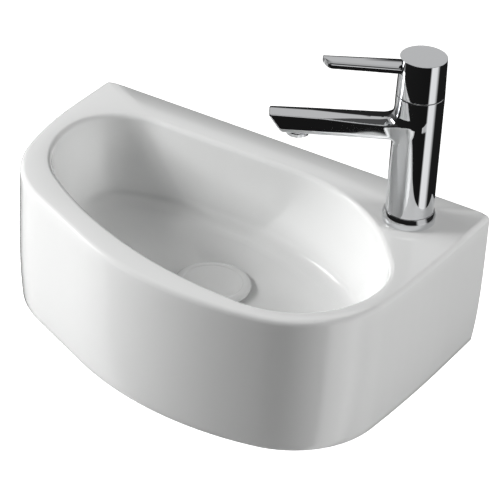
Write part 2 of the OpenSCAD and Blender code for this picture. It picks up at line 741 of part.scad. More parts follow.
module aerator_insert() {
    insert_r = aerator_thread_r - 1.45;
    insert_l = aerator_drop + aerator_thread_l - 1;
    jet_r = 0.9;
    jet_rings = [4.6, 2.3];
    color("whitesmoke") at_tap() translate([aerator_reach, 0, aerator_low_h + 1]) difference() {
        cylinder(r = insert_r, h = insert_l);
        for (r = jet_rings, i = [0:2 * r]) {
            rotate([0, 0, i * 360 / (floor(2 * r) + 1)]) translate([r, 0, -cut])
                cylinder(r = jet_r, h = insert_l + 2 * cut, $fn = 16);
        }
    }
}

module aerator_washer() {
    color("dimgray") at_tap() translate([aerator_reach, 0, spout_low_h + aerator_thread_l])
        tube(aerator_thread_r - 0.1, aerator_thread_r - 2.4, aerator_washer_t);
}

// Clamp under the deck: the stud hangs from the column, and the horseshoes leave the hoses room
stud_low_h = -deck_t - 42;
shoe_r = 19.5;
shoe_gap = 0.4;
stud_gasket_t = 3;
stud_washer_t = 2.5;
stud_nut_t = 8;
stud_nut_across = 13;

module fixing_stud() {
    color("gray") at_tap() translate([stud_x, 0, stud_low_h])
        cylinder(r = stud_r, h = foot_h + stud_depth - 1 - stud_low_h);
}

module horseshoe(h0, t) {
    mouth_half = inlet_y + inlet_d / 2 + 0.5;
    mouth_x = stud_x - stud_r - 3;
    at_tap() translate([0, 0, h0]) difference() {
        cylinder(r = shoe_r, h = t);
        translate([-shoe_r - cut, -mouth_half, -cut])
            cube([shoe_r + cut + mouth_x, 2 * mouth_half, t + 2 * cut]);
        translate([stud_x, 0, -cut]) cylinder(r = stud_r + shoe_gap, h = t + 2 * cut);
    }
}

module stud_gasket() {
    color("dimgray") horseshoe(-deck_t - stud_gasket_t, stud_gasket_t);
}

module stud_washer() {
    color("lightgray") horseshoe(-deck_t - stud_gasket_t - stud_washer_t, stud_washer_t);
}

module stud_nut() {
    color("goldenrod") at_tap() translate([stud_x, 0, -deck_t - stud_gasket_t - stud_washer_t - stud_nut_t])
        difference() {
            cylinder(r = stud_nut_across / 2 / cos(30), h = stud_nut_t, $fn = 6);
            translate([0, 0, -cut]) cylinder(r = stud_r + thread_gap, h = stud_nut_t + 2 * cut);
        }
}

// Waste levels are measured from the bowl's floor at the waste
cover_edge_r = 2.5;
cover_boss_r = 18;
cover_boss_t = 2;
collar_r = waste_hole_d / 2 - 0.4;
collar_l = 9;
throat_r = collar_r - 0.7;
throat_h = 5;
throat_cone_h = 3;
tail_wall = 2.4;
tail_thread_h = 38;
tail_bore_r = tail_d / 2 - tail_wall;
plug_gap = 0.3;
plug_seal_t = 1.5;
plug_low = -throat_h + plug_gap + click_press + plug_seal_t;
click_stem_r = 5;
click_bore_r = click_stem_r + 0.06;
click_r = 7;
click_top = -20;
click_low = -52;
click_base_t = 3;
spring_room = 1;
click_stem_low = click_low + click_base_t + click_rise + spring_room;
spider_top = -24;
spider_t = 6;
boss_r = 10;
collar_t = 2;

module waste_cover() {
    round_steps = 5;
    cover_r = cover_d / 2;
    color("white") at_waste() translate([0, 0, cover_gap]) difference() {
        rotate_extrude() polygon(concat([[0, 0], [cover_r - 1, 0], [cover_r, 1]],
            [for (i = [0:round_steps]) let (a = 90 * i / round_steps)
                [cover_r - cover_edge_r * (1 - cos(a)), cover_t - cover_edge_r * (1 - sin(a))]],
            [[0, cover_t]]));
        translate([0, 0, -cut]) cylinder(r = cover_boss_r + 0.1, h = cover_boss_t + cut);
    }
}

module plug_carrier() {
    color("lightgray") at_waste() union() {
        translate([0, 0, plug_low]) cylinder(r = throat_r - 3 * plug_gap, h = cover_gap - plug_low);
        translate([0, 0, cover_gap - cut]) cylinder(r = cover_boss_r, h = cover_boss_t + cut);
        translate([0, 0, click_stem_low]) cylinder(r = click_stem_r, h = plug_low - click_stem_low + cut);
    }
}

module plug_seal() {
    color("dimgray") at_waste() translate([0, 0, plug_low - plug_seal_t])
        tube(throat_r - plug_gap, click_stem_r + 0.1, plug_seal_t);
}

module click_housing() {
    color("lightgray") at_waste() difference() {
        union() {
            translate([0, 0, click_low]) cylinder(r = click_r, h = click_top - click_low);
            translate([0, 0, spider_top]) cylinder(r = boss_r, h = collar_t);
        }
        translate([0, 0, click_low + click_base_t]) cylinder(r = click_bore_r, h = -click_low);
    }
}

// Spring: a round wire along a helix, closed at both ends
wire_r = 0.6;
coil_r = 3.9;
coil_turns = 5;
coil_steps = 16;
wire_sides = 8;
coil_low = click_low + click_base_t;
coil_high = click_stem_low;
coil_pitch = (coil_high - coil_low - 2 * wire_r) / coil_turns;

function wire_ring(i) = let (a = 360 * i / coil_steps, h = coil_low + wire_r + coil_pitch * i / coil_steps)
    [for (k = [0:wire_sides - 1]) let (b = 360 * k / wire_sides, r = coil_r + wire_r * cos(b))
        [r * cos(a), r * sin(a), h + wire_r * sin(b)]];

module click_spring() {
    n = coil_turns * coil_steps;
    points = [for (i = [0:n]) each wire_ring(i)];
    sides = [for (i = [0:n - 1], k = [0:wire_sides - 1])
        let (a = i * wire_sides + k, b = i * wire_sides + (k + 1) % wire_sides)
        each [[a, b, a + wire_sides], [b, b + wire_sides, a + wire_sides]]];
    start = [for (k = [wire_sides - 1:-1:0]) k];
    end = [for (k = [0:wire_sides - 1]) n * wire_sides + k];
    color("gray") at_waste() polyhedron(points = points, faces = concat(sides, [start, end]), convexity = 10);
}

// Three arms across the tail that hold the click housing
module spider() {
    arm_w = 3.5;
    arms = 3;
    translate([0, 0, spider_top - spider_t]) difference() {
        union() {
            cylinder(r = boss_r, h = spider_t);
            for (i = [0:arms - 1]) {
                rotate([0, 0, i * 360 / arms]) translate([0, -arm_w / 2, 0])
                    cube([tail_bore_r + tail_wall / 2, arm_w, spider_t]);
            }
        }
        translate([0, 0, -cut]) cylinder(r = click_r + thread_gap, h = spider_t + 2 * cut);
    }
}

module waste_body() {
    color("silver") at_waste() union() {
        difference() {
            union() {
                translate([0, 0, -flange_t]) cylinder(d = flange_d, h = flange_t);
                translate([0, 0, -collar_l]) cylinder(r = collar_r, h = collar_l - flange_t / 2);
                translate([0, 0, -tail_thread_h]) cylinder(d = tail_d, h = tail_thread_h - collar_l + cut);
                translate([0, 0, -tail_l]) cylinder(d = tail_end_d, h = tail_l - tail_thread_h + cut);
            }
            translate([0, 0, -throat_h]) cylinder(r = throat_r, h = throat_h + cut);
            translate([0, 0, -throat_h - throat_cone_h])
                cylinder(r1 = tail_bore_r, r2 = throat_r, h = throat_cone_h);
            translate([0, 0, -tail_l - cut])
                cylinder(r = tail_bore_r, h = tail_l - throat_h - throat_cone_h + cut);
        }
        spider();
    }
}

module flange_gasket() {
    color("dimgray") at_waste() translate([0, 0, -recess_h]) tube(flange_d / 2 - 0.5, collar_r + 0.2, gasket_t);
}

// Stack under the bowl's floor
tail_gap = 0.3;
cone_t = 9;
cone_top_r = 31;
cone_low_r = 27;
slip_t = 2;
slip_r = 30;
back_nut_t = 11;
back_nut_across = 54;

module cone_gasket() {
    color("dimgray") at_waste() translate([0, 0, -floor_t - cone_t]) difference() {
        cylinder(r1 = cone_low_r, r2 = cone_top_r, h = cone_t);
        translate([0, 0, -cut]) cylinder(r = tail_d / 2 + tail_gap, h = cone_t + 2 * cut);
    }
}

module slip_washer() {
    color("white") at_waste() translate([0, 0, -floor_t - cone_t - slip_t])
        tube(slip_r, tail_d / 2 + tail_gap, slip_t);
}

module back_nut() {
    color("silver") at_waste() translate([0, 0, -floor_t - cone_t - slip_t - back_nut_t]) difference() {
        cylinder(r = back_nut_across / 2 / cos(30), h = back_nut_t, $fn = 6);
        translate([0, 0, -cut]) cylinder(r = tail_d / 2 + thread_gap, h = back_nut_t + 2 * cut);
    }
}

basin_body();
tap_body();
trim_ring();
trim_seal();
handle_cap();
cap_disc();
cap_insert();
lever();
lever_stem();
lever_screw();
stem_pin();
cartridge_turret();
cartridge_body();
cartridge_nut();
disc_driver();
moving_disc();
fixed_disc();
port_seals();
aerator_ring();
aerator_insert();
aerator_washer();
fixing_stud();
stud_gasket();
stud_washer();
stud_nut();
waste_cover();
plug_carrier();
plug_seal();
click_housing();
click_spring();
waste_body();
flange_gasket();
cone_gasket();
slip_washer();
back_nut();
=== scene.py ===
# %% [markdown]
# A small white washbasin with a chromed mixer tap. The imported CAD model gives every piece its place
# and its size. This script gives the pieces their finish, and where a smooth cast surface needs more
# points than the CAD solid has, it makes a finer skin from the same dimensions.

# %% Load the frame
import bmesh
import bpy
import json
import math
import numpy as np
from mathutils import Matrix, Vector


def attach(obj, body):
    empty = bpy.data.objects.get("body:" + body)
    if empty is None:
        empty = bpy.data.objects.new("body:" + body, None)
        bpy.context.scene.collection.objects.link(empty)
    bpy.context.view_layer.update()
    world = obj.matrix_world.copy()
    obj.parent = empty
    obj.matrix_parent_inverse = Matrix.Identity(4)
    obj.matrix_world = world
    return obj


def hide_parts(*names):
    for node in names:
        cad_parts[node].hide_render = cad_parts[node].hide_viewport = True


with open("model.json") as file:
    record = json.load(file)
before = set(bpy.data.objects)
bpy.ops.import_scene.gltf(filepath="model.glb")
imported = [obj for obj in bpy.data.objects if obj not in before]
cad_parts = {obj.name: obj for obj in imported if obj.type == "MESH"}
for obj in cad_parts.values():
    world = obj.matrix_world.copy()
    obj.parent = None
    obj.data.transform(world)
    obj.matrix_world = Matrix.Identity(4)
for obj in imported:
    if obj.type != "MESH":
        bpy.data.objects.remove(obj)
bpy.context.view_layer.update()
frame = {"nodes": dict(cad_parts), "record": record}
MM = 0.001

# %% [markdown]
# The photograph was taken from the front right, looking down, and the camera was rolled a little.
# Its place and angles were worked out from the outlines of the rim, the bottom edge and the tap.

# %% Camera
BOLT_H = 95
camera_at = Vector((1.11462, -2.00913, 1.44997 - BOLT_H * MM))
camera_turn = math.radians(29.8717)
camera_tilt = math.radians(31.9369)
camera_roll = math.radians(3.6287)
camera_focal_px = 2813.6
photo_px = 500

back = Vector((math.sin(camera_turn) * math.cos(camera_tilt),
               -math.cos(camera_turn) * math.cos(camera_tilt), math.sin(camera_tilt)))
level = Vector((math.cos(camera_turn), math.sin(camera_turn), 0))
rise = back.cross(level)
right = level * math.cos(camera_roll) + rise * math.sin(camera_roll)
up = rise * math.cos(camera_roll) - level * math.sin(camera_roll)

lens = bpy.data.cameras.new("photo_camera")
lens.sensor_width = 36
lens.lens = camera_focal_px / photo_px * lens.sensor_width
lens.clip_start = 0.05
lens.clip_end = 50
camera = bpy.data.objects.new("photo_camera", lens)
camera.matrix_world = Matrix.Translation(camera_at) @ Matrix((right, up, back)).transposed().to_4x4()
bpy.context.scene.collection.objects.link(camera)
bpy.context.scene.camera = camera
print("lens:", round(lens.lens, 1), "mm")

# %% [markdown]
# Two effects show on nearly every finish. Handling leaves faint patches that are less glossy, and
# no cast or plated surface is perfectly flat. Each is one node group, so every material can use it
# with its own strength.

# %% Node helpers
def new_group(name, inputs, outputs):
    group = bpy.data.node_groups.new(name, "ShaderNodeTree")
    for label, value in inputs:
        socket = group.interface.new_socket(label, in_out="INPUT", socket_type="NodeSocketFloat")
        socket.default_value = value
    for label in outputs:
        group.interface.new_socket(label, in_out="OUTPUT", socket_type="NodeSocketFloat")
    return group, group.nodes.new("NodeGroupInput"), group.nodes.new("NodeGroupOutput")


def math_node(nodes, links, operation, a, b):
    node = nodes.new("ShaderNodeMath")
    node.operation = operation
    for socket, value in zip(node.inputs, (a, b)):
        if isinstance(value, (int, float)):
            socket.default_value = value
        else:
            links.new(value, socket)
    return node.outputs[0]


def noise_node(nodes, links, coords, scale, detail):
    node = nodes.new("ShaderNodeTexNoise")
    node.inputs["Detail"].default_value = detail
    links.new(coords, node.inputs["Vector"])
    if isinstance(scale, (int, float)):
        node.inputs["Scale"].default_value = scale
    else:
        links.new(scale, node.inputs["Scale"])
    return node.outputs["Fac"]


# %% Node group: patchy gloss
def make_patchy_gloss():
    group, start, end = new_group("patchy_gloss", (("Roughness", 0.1), ("Patches", 0.03), ("Scale", 30)),
                                  ("Roughness",))
    nodes, links = group.nodes, group.links
    coords = nodes.new("ShaderNodeTexCoord").outputs["Object"]
    patches = noise_node(nodes, links, coords, start.outputs["Scale"], 4)
    centred = math_node(nodes, links, "SUBTRACT", patches, 0.5)
    scaled = math_node(nodes, links, "MULTIPLY", centred, start.outputs["Patches"])
    links.new(math_node(nodes, links, "ADD", scaled, start.outputs["Roughness"]), end.inputs[0])
    return group


# %% Node group: surface waves
def make_surface_waves():
    group, start, end = new_group("surface_waves", (("Scale", 60), ("Fine", 0.3)), ("Height",))
    nodes, links = group.nodes, group.links
    coords = nodes.new("ShaderNodeTexCoord").outputs["Object"]
    broad = noise_node(nodes, links, coords, start.outputs["Scale"], 1)
    fine_scale = math_node(nodes, links, "MULTIPLY", start.outputs["Scale"], 12)
    fine = noise_node(nodes, links, coords, fine_scale, 2)
    links.new(math_node(nodes, links, "ADD", broad,
                        math_node(nodes, links, "MULTIPLY", fine, start.outputs["Fine"])), end.inputs[0])
    return group


patchy_gloss = make_patchy_gloss()
surface_waves = make_surface_waves()
print("node groups:", patchy_gloss.name, surface_waves.name)


# %% [markdown]
# Every finish starts from the same skeleton: a Principled shader whose roughness comes from the
# patches and whose normal comes from the waves. Plain numbers go straight on the shader.

# %% Material builder
CLOUD_SHARE = 0.6


def finish(name, colour, metallic, gloss_values, wave_values, tint):
    """The gloss values are roughness, strength and scale of the patches. The wave values are the
    scale, the share of fine waves and the depth in metres. The tint is how far the colour drifts."""
    roughness, patches, patch_scale = gloss_values
    wave_scale, wave_fine, wave_depth = wave_values
    material = bpy.data.materials.new(name)
    material.use_nodes = True
    nodes, links = material.node_tree.nodes, material.node_tree.links
    shader = nodes["Principled BSDF"]
    shader.inputs["Metallic"].default_value = metallic
    gloss = nodes.new("ShaderNodeGroup")
    gloss.node_tree = patchy_gloss
    for label, value in (("Roughness", roughness), ("Patches", patches), ("Scale", patch_scale)):
        gloss.inputs[label].default_value = value
    links.new(gloss.outputs["Roughness"], shader.inputs["Roughness"])
    waves = nodes.new("ShaderNodeGroup")
    waves.node_tree = surface_waves
    waves.inputs["Scale"].default_value = wave_scale
    waves.inputs["Fine"].default_value = wave_fine
    bump = nodes.new("ShaderNodeBump")
    bump.inputs["Strength"].default_value = 1
    bump.inputs["Distance"].default_value = wave_depth
    links.new(waves.outputs["Height"], bump.inputs["Height"])
    links.new(bump.outputs["Normal"], shader.inputs["Normal"])
    coords = nodes.new("ShaderNodeTexCoord").outputs["Object"]
    clouds = noise_node(nodes, links, coords, patch_scale * CLOUD_SHARE, 3)
    shades = nodes.new("ShaderNodeMix")
    shades.data_type = "RGBA"
    shades.inputs["A"].default_value = (*[c * (1 - tint) for c in colour], 1)
    shades.inputs["B"].default_value = (*[min(1, c * (1 + tint)) for c in colour], 1)
    links.new(clouds, shades.inputs["Factor"])
    links.new(shades.outputs["Result"], shader.inputs["Base Color"])
    return material


glaze = finish("white_glaze", (0.88, 0.885, 0.88), 0, (0.07, 0.03, 18), (25, 0.02, 0.00012), 0.006)
glaze.node_tree.nodes["Principled BSDF"].inputs["Coat Weight"].default_value = 0.6
glaze.node_tree.nodes["Principled BSDF"].inputs["Coat Roughness"].default_value = 0.03
chrome = finish("polished_chrome", (0.80, 0.81, 0.825), 1, (0.035, 0.03, 45), (40, 0.02, 0.00001), 0.01)
bare_brass = finish("machined_brass", (0.72, 0.53, 0.24), 1, (0.28, 0.12, 60), (300, 0.6, 0.00003), 0.06)
steel = finish("stainless_steel", (0.55, 0.56, 0.57), 1, (0.24, 0.1, 60), (400, 0.6, 0.00002), 0.05)
black_rubber = finish("black_rubber", (0.025, 0.025, 0.026), 0, (0.62, 0.15, 80), (500, 0.8, 0.00008), 0.15)
white_plastic = finish("white_acetal", (0.72, 0.72, 0.69), 0, (0.32, 0.08, 60), (300, 0.5, 0.00003), 0.02)
disc_ceramic = finish("lapped_ceramic", (0.78, 0.74, 0.66), 0, (0.18, 0.05, 60), (300, 0.4, 0.00001), 0.02)
print("finishes:", len(bpy.data.materials))


# %% [markdown]
# The basin is one casting in vitreous china. Its outline is a chain of arcs that touch each other.
# It is kept here as the straight lines that touch it, each with the direction that it faces, because
# moving all of them inwards gives every smaller outline that the walls and roundings need.

# %% Outlines of the basin
BASIN_W, BASIN_D, BASIN_H = 421, 280, 137
WASTE = np.array((-4.0, -127.0))
BASE_Z = -BOLT_H
FACING_STEP = 0.75


def facing(angle):
    return np.array((math.cos(math.radians(angle)), math.sin(math.radians(angle))))


def along(angle):
    return np.array((-math.sin(math.radians(angle)), math.cos(math.radians(angle))))


def arc_lines(centre, radius, start, end):
    steps = math.ceil((end - start) / FACING_STEP)
    angles = [start + (end - start) * i / steps for i in range(steps + 1)]
    return [(a, float(np.dot(centre - WASTE, facing(a)) + radius)) for a in angles]


def outer_outline():
    sweep_r, left_r, front_r, right_r, side_r, corner_r = 381, 110, 301, 98, 1460, 3.5
    sweep_end, shoulder, front_end, side_start = 193.2, 245, 284.5, 355.2
    sweep_c = np.array((sweep_r - BASIN_W / 2, 0))
    left_c = sweep_c + (sweep_r - left_r) * facing(sweep_end)
    front_c = left_c + (left_r - front_r) * facing(shoulder)
    right_c = front_c + (front_r - right_r) * facing(front_end)
    side_c = right_c + (right_r - side_r) * facing(side_start)
    shoulder_l = (BASIN_W / 2 - side_r - side_c[0]) / along(shoulder)[0]
    left_side_l = BASIN_D - front_r + front_c[1] + shoulder_l * along(shoulder)[1]
    left_shift = np.array((0, -left_side_l))
    front_shift = left_shift + shoulder_l * along(shoulder)
    corner = BASIN_W / 2 - corner_r
    return np.array(arc_lines(np.array((-corner, -corner_r)), corner_r, 90, 180)
                    + arc_lines(sweep_c + left_shift, sweep_r, 180, sweep_end)
                    + arc_lines(left_c + left_shift, left_r, sweep_end, shoulder)
                    + arc_lines(front_c + front_shift, front_r, shoulder, front_end)
                    + arc_lines(right_c + front_shift, right_r, front_end, side_start)
                    + arc_lines(side_c + front_shift, side_r, side_start, 360)
                    + arc_lines(np.array((corner, -corner_r)), corner_r, 0, 90))


def bowl_outline():
    rim_left, rim_front, rim_right, shelf = 24.8, 23.4, 22.4, 39.6
    back_r, left_r, front_r, right_r, side_r, tap_r = 58.5, 99.5, 420, 88.5, 72.5, 172.5
    turn, front_end, tap_edge = 235, 270.5, 39.6
    back_c = np.array((rim_left + back_r - BASIN_W / 2, -shelf - back_r))
    left_c = back_c + (back_r - left_r) * facing(180)
    front_c = left_c + (left_r - front_r) * facing(turn)
    front_c = front_c + (rim_front + front_r - BASIN_D - front_c[1]) / along(turn)[1] * along(turn)
    right_c = front_c + (front_r - right_r) * facing(front_end)
    right_c = np.array((BASIN_W / 2 - rim_right - right_r, right_c[1]))
    side_c = right_c + (right_r - side_r) * facing(0)
    tap_c = side_c + (side_r - tap_r) * facing(tap_edge)
    tap_c = tap_c + (-shelf - tap_r - tap_c[1]) / along(tap_edge)[1] * along(tap_edge)
    return np.array(arc_lines(back_c, back_r, 90, 180) + arc_lines(left_c, left_r, 180, turn)
                    + arc_lines(front_c, front_r, turn, front_end)
                    + arc_lines(right_c, right_r, front_end, 360)
                    + arc_lines(side_c, side_r, 0, tap_edge) + arc_lines(tap_c, tap_r, tap_edge, 90))


OUTER = outer_outline()
BOWL = bowl_outline()
print("outline lines:", len(OUTER), "outside,", len(BOWL), "bowl")

# %% Directions round the waste, closer together at the two corners by the wall
right_corner = math.degrees(math.atan2(-WASTE[1], BASIN_W / 2 - WASTE[0]))
left_corner = math.degrees(math.atan2(-WASTE[1], -BASIN_W / 2 - WASTE[0]))
CORNER_TURN = 1.3
CORNER_STEPS, BACK_STEPS, FRONT_STEPS = 12, 96, 260


def spread(start, end, count):
    return np.linspace(start, end, count, endpoint=False)


DIRECTIONS = np.concatenate((
    spread(right_corner - CORNER_TURN, right_corner + CORNER_TURN, CORNER_STEPS),
    spread(right_corner + CORNER_TURN, left_corner - CORNER_TURN, BACK_STEPS),
    spread(left_corner - CORNER_TURN, left_corner + CORNER_TURN, CORNER_STEPS),
    spread(left_corner + CORNER_TURN, right_corner - CORNER_TURN + 360, FRONT_STEPS)))
BACK_SHARPNESS = 50
LEAST_COSINE, OUT_OF_REACH = 0.02, 1e6


def reach(lines, side, back):
    """Distance from the waste's axis to an outline in every direction, moved in by side or back."""
    cosines = np.cos(np.radians(DIRECTIONS[:, None] - lines[None, :, 0]))
    is_back = np.maximum(0, np.sin(np.radians(lines[:, 0]))) ** BACK_SHARPNESS
    moved = lines[:, 1] - (side + (back - side) * is_back)
    lengths = np.where(cosines > LEAST_COSINE, moved / np.maximum(cosines, LEAST_COSINE), OUT_OF_REACH)
    return lengths.min(axis=1)


def ring(distance, height):
    distance = np.broadcast_to(distance, DIRECTIONS.shape)
    height = np.broadcast_to(height, DIRECTIONS.shape)
    turn = np.radians(DIRECTIONS)
    return np.stack((WASTE[0] + distance * np.cos(turn), WASTE[1] + distance * np.sin(turn),
                     BASE_Z + height), axis=1)


print("points in a ring:", len(DIRECTIONS))


# %% [markdown]
# The casting is a loft: rings of points, from the waste hole up the bowl, over the rounded rim, down
# the outer wall and back through the hollow underneath. The bowl's wall leans in more and more, and
# a curve carries it into the floor, as glazed china has no sharp inside corner.

# %% Profile values
BOWL_EDGE_R, RIM_EDGE_R, BACK_EDGE_R = 5, 5, 1
WALL_TUCK, TUCK_POWER, SKIRT_TOP_H, SKIRT_LOW_H = 4.2, 4, 120, 1.5
SIDE_LEAN, BACK_LEAN, LEAN_POWER = 18.4, 2.9, 1.6
FLOOR_EDGE_H, FLOOR_H, FLOOR_FILLET, FLOOR_POWER = 57, 42, 11, 1.3
SKIRT_T, BACK_WALL_T, BOWL_T, FLOOR_T, DECK_T, RIM_DEPTH = 9, 12, 8, 12, 12, 40
NARROW_RIM, NARROW_FADE = 38, 12
FLOOR_SHARES, CURVE_START_SHARE, CURVE_END_H, WALL_START_H = (0.06, 0.8), 0.92, 8, 11
CURVE_OUT, CURVE_DOWN = 1, 0.5
FLOOR_RINGS, CURVE_RINGS, WALL_RINGS, EDGE_RINGS, SKIRT_RINGS = 14, 12, 21, 7, 22
HOLE_R, SEAT_R, UNDER_SEAT_R = 22.5, 34.5, 37.5
RECESS_R, RECESS_DEPTH, RECESS_BEVEL, RECESS_BEVEL_H = 33, 3.5, 0.5, 0.4
FOOT_ROUND = ((0.4, 0.4), (1.5, 0))
INNER_FOOT_ROUND = ((-1, 0), (0, 0.8))
CEILING_ROUND = ((0, 4), (1.2, 1.2), (4, 0))
INSIDE_HEIGHTS, UNDER_BOWL_HEIGHTS = (12, 24, 40, 60), (83, 76, 68)
WALL_TOP_H = BASIN_H - BOWL_EDGE_R


def wall_share(height):
    return ((WALL_TOP_H - height) / (WALL_TOP_H - FLOOR_EDGE_H)) ** LEAN_POWER


def bowl_wall(height, out=0):
    share = wall_share(height)
    return ring(reach(BOWL, SIDE_LEAN * share - out, BACK_LEAN * share - out), height)


def bowl_floor(share, low, start_r, high):
    edge = reach(BOWL, SIDE_LEAN + FLOOR_FILLET, BACK_LEAN + FLOOR_FILLET)
    return ring(start_r + (edge - start_r) * share, low + (high - low) * share ** FLOOR_POWER)


def bend(ring_a, corner, ring_b, steps):
    return [ring_a * (1 - t) ** 2 + corner * 2 * t * (1 - t) + ring_b * t * t
            for t in np.linspace(0, 1, steps)]


def tuck(height):
    return WALL_TUCK * (1 - height / BASIN_H) ** TUCK_POWER


# %% Rings of the casting
def bowl_rings():
    rings = [ring(HOLE_R, FLOOR_H - RECESS_DEPTH), ring(RECESS_R, FLOOR_H - RECESS_DEPTH),
             ring(RECESS_R, FLOOR_H - RECESS_BEVEL_H), ring(RECESS_R + RECESS_BEVEL, FLOOR_H),
             ring(SEAT_R, FLOOR_H)]
    shares = np.linspace(*FLOOR_SHARES, FLOOR_RINGS)
    rings += [bowl_floor(share, FLOOR_H, SEAT_R, FLOOR_EDGE_H) for share in shares]
    low = bowl_floor(CURVE_START_SHARE, FLOOR_H, SEAT_R, FLOOR_EDGE_H)
    corner = ring(reach(BOWL, SIDE_LEAN + CURVE_OUT, BACK_LEAN + CURVE_OUT), FLOOR_EDGE_H - CURVE_DOWN)
    rings += bend(low, corner, bowl_wall(FLOOR_EDGE_H + CURVE_END_H), CURVE_RINGS)
    heights = np.linspace(FLOOR_EDGE_H + WALL_START_H, WALL_TOP_H, WALL_RINGS)
    rings += [bowl_wall(height) for height in heights]
    for angle in np.radians(np.linspace(12, 90, EDGE_RINGS)):
        inset = -BOWL_EDGE_R * (1 - math.cos(angle))
        rings.append(ring(reach(BOWL, inset, inset), WALL_TOP_H + BOWL_EDGE_R * math.sin(angle)))
    return rings


def outside_rings():
    rings = []
    for angle in np.radians(np.linspace(0, 90, EDGE_RINGS + 1)):
        inset = 1 - math.sin(angle)
        rings.append(ring(reach(OUTER, RIM_EDGE_R * inset, BACK_EDGE_R * inset),
                          BASIN_H - RIM_EDGE_R * (1 - math.cos(angle))))
    heights = np.linspace(SKIRT_TOP_H, SKIRT_LOW_H, SKIRT_RINGS)
    rings += [ring(reach(OUTER, tuck(height), 0), height) for height in heights]
    rings += [ring(reach(OUTER, WALL_TUCK + inset, inset), height) for inset, height in FOOT_ROUND]
    return rings


def hollow_rings():
    wide = reach(OUTER, 0, 0) - reach(BOWL, 0, 0)
    narrow = np.clip((NARROW_RIM - wide) / NARROW_FADE, 0, 1)
    ceiling = BASIN_H - DECK_T - (RIM_DEPTH - DECK_T) * narrow
    rings = [ring(reach(OUTER, WALL_TUCK + SKIRT_T + inset, BACK_WALL_T + inset), height)
             for inset, height in INNER_FOOT_ROUND]
    rings += [ring(reach(OUTER, SKIRT_T + tuck(height), BACK_WALL_T), height)
              for height in INSIDE_HEIGHTS]
    rings += [ring(reach(OUTER, SKIRT_T + inset, BACK_WALL_T + inset), ceiling - drop)
              for inset, drop in CEILING_ROUND]
    share = wall_share(np.minimum(ceiling, WALL_TOP_H))
    top = [reach(BOWL, SIDE_LEAN * s - BOWL_T, BACK_LEAN * s - BOWL_T)[i] for i, s in enumerate(share)]
    rings.append(ring(np.array(top), ceiling))
    rings += [bowl_wall(height, BOWL_T) for height in UNDER_BOWL_HEIGHTS]
    rings.append(ring(reach(BOWL, SIDE_LEAN - BOWL_T / 2, BACK_LEAN - BOWL_T / 2),
                      FLOOR_EDGE_H - BOWL_T / 2))
    rings += [bowl_floor(share, FLOOR_H - FLOOR_T, UNDER_SEAT_R, FLOOR_EDGE_H - FLOOR_T)
              for share in (0.9, 0.7, 0.5, 0.3, 0.1)]
    rings += [ring(UNDER_SEAT_R, FLOOR_H - FLOOR_T), ring(HOLE_R, FLOOR_H - FLOOR_T)]
    return rings


basin_rings = bowl_rings() + outside_rings() + hollow_rings()
print("rings:", len(basin_rings))


# %% Mesh helpers
def link_mesh(name, points, faces, material, body):
    mesh = bpy.data.meshes.new(name)
    mesh.from_pydata([tuple(p) for p in np.asarray(points) * MM], [], faces)
    mesh.validate()
    mesh.update()
    piece = bpy.data.objects.new(name, mesh)
    bpy.context.scene.collection.objects.link(piece)
    mesh.materials.append(material)
    if body:
        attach(piece, body)
    return piece


def apply_modifiers(piece):
    bpy.context.view_layer.update()
    graph = bpy.context.evaluated_depsgraph_get()
    mesh = bpy.data.meshes.new_from_object(piece.evaluated_get(graph))
    piece.modifiers.clear()
    piece.data = mesh


def smooth(piece, angle):
    piece.data.polygons.foreach_set("use_smooth", [True] * len(piece.data.polygons))
    piece.data.set_sharp_from_angle(angle=math.radians(angle))


def closed_loft(rings):
    count = len(rings[0])
    total = len(rings)
    faces = []
    for j in range(total):
        k = (j + 1) % total
        for i in range(count):
            m = (i + 1) % count
            faces.append((j * count + i, k * count + i, k * count + m, j * count + m))
    return np.concatenate(rings), faces


def cut_with(piece, mesh):
    """Takes the solid in a bmesh away from a piece."""
    data = bpy.data.meshes.new("cutter")
    mesh.to_mesh(data)
    mesh.free()
    cutter = bpy.data.objects.new("cutter", data)
    bpy.context.scene.collection.objects.link(cutter)
    modifier = piece.modifiers.new("cut", "BOOLEAN")
    modifier.operation = "DIFFERENCE"
    modifier.solver = "EXACT"
    modifier.object = cutter
    apply_modifiers(piece)
    bpy.data.objects.remove(cutter)


def cut_cylinders(piece, places):
    """Cuts holes with cylinders given as (centre, axis, radius, length), in millimetres."""
    mesh = bmesh.new()
    for centre, axis, radius, length in places:
        turn = Vector((0, 0, 1)).rotation_difference(Vector(axis)).to_matrix().to_4x4()
        bmesh.ops.create_cone(mesh, cap_ends=True, segments=64, radius1=radius * MM, radius2=radius * MM,
                              depth=length * MM, matrix=Matrix.Translation(Vector(centre) * MM) @ turn)
    cut_with(piece, mesh)


def cut_box(piece, low, high):
    mesh = bmesh.new()
    bmesh.ops.create_cube(mesh, size=1)
    for vert in mesh.verts:
        vert.co = Vector([(a if c < 0 else b) * MM for c, a, b in zip(vert.co, low, high)])
    cut_with(piece, mesh)


# %% The casting
TAP_X, TAP_Y, DECK_Z = 152, -50, BASE_Z + BASIN_H
BOLT_X, BOLT_HOLE_R, TAP_HOLE_R = 100, 6, 17.5
CAST_EDGE_ANGLE = 35
points, faces = closed_loft(basin_rings)
basin = link_mesh("china_basin", points, faces, glaze, "basin")
holes = [((TAP_X, TAP_Y, DECK_Z - DECK_T / 2), (0, 0, 1), TAP_HOLE_R, DECK_T + 8)]
holes += [((x, -BACK_WALL_T / 2, 0), (0, 1, 0), BOLT_HOLE_R, BACK_WALL_T + 4) for x in (-BOLT_X, BOLT_X)]
cut_cylinders(basin, holes)
smooth(basin, CAST_EDGE_ANGLE)
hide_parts("basin_body")
print("basin faces:", len(basin.data.polygons))


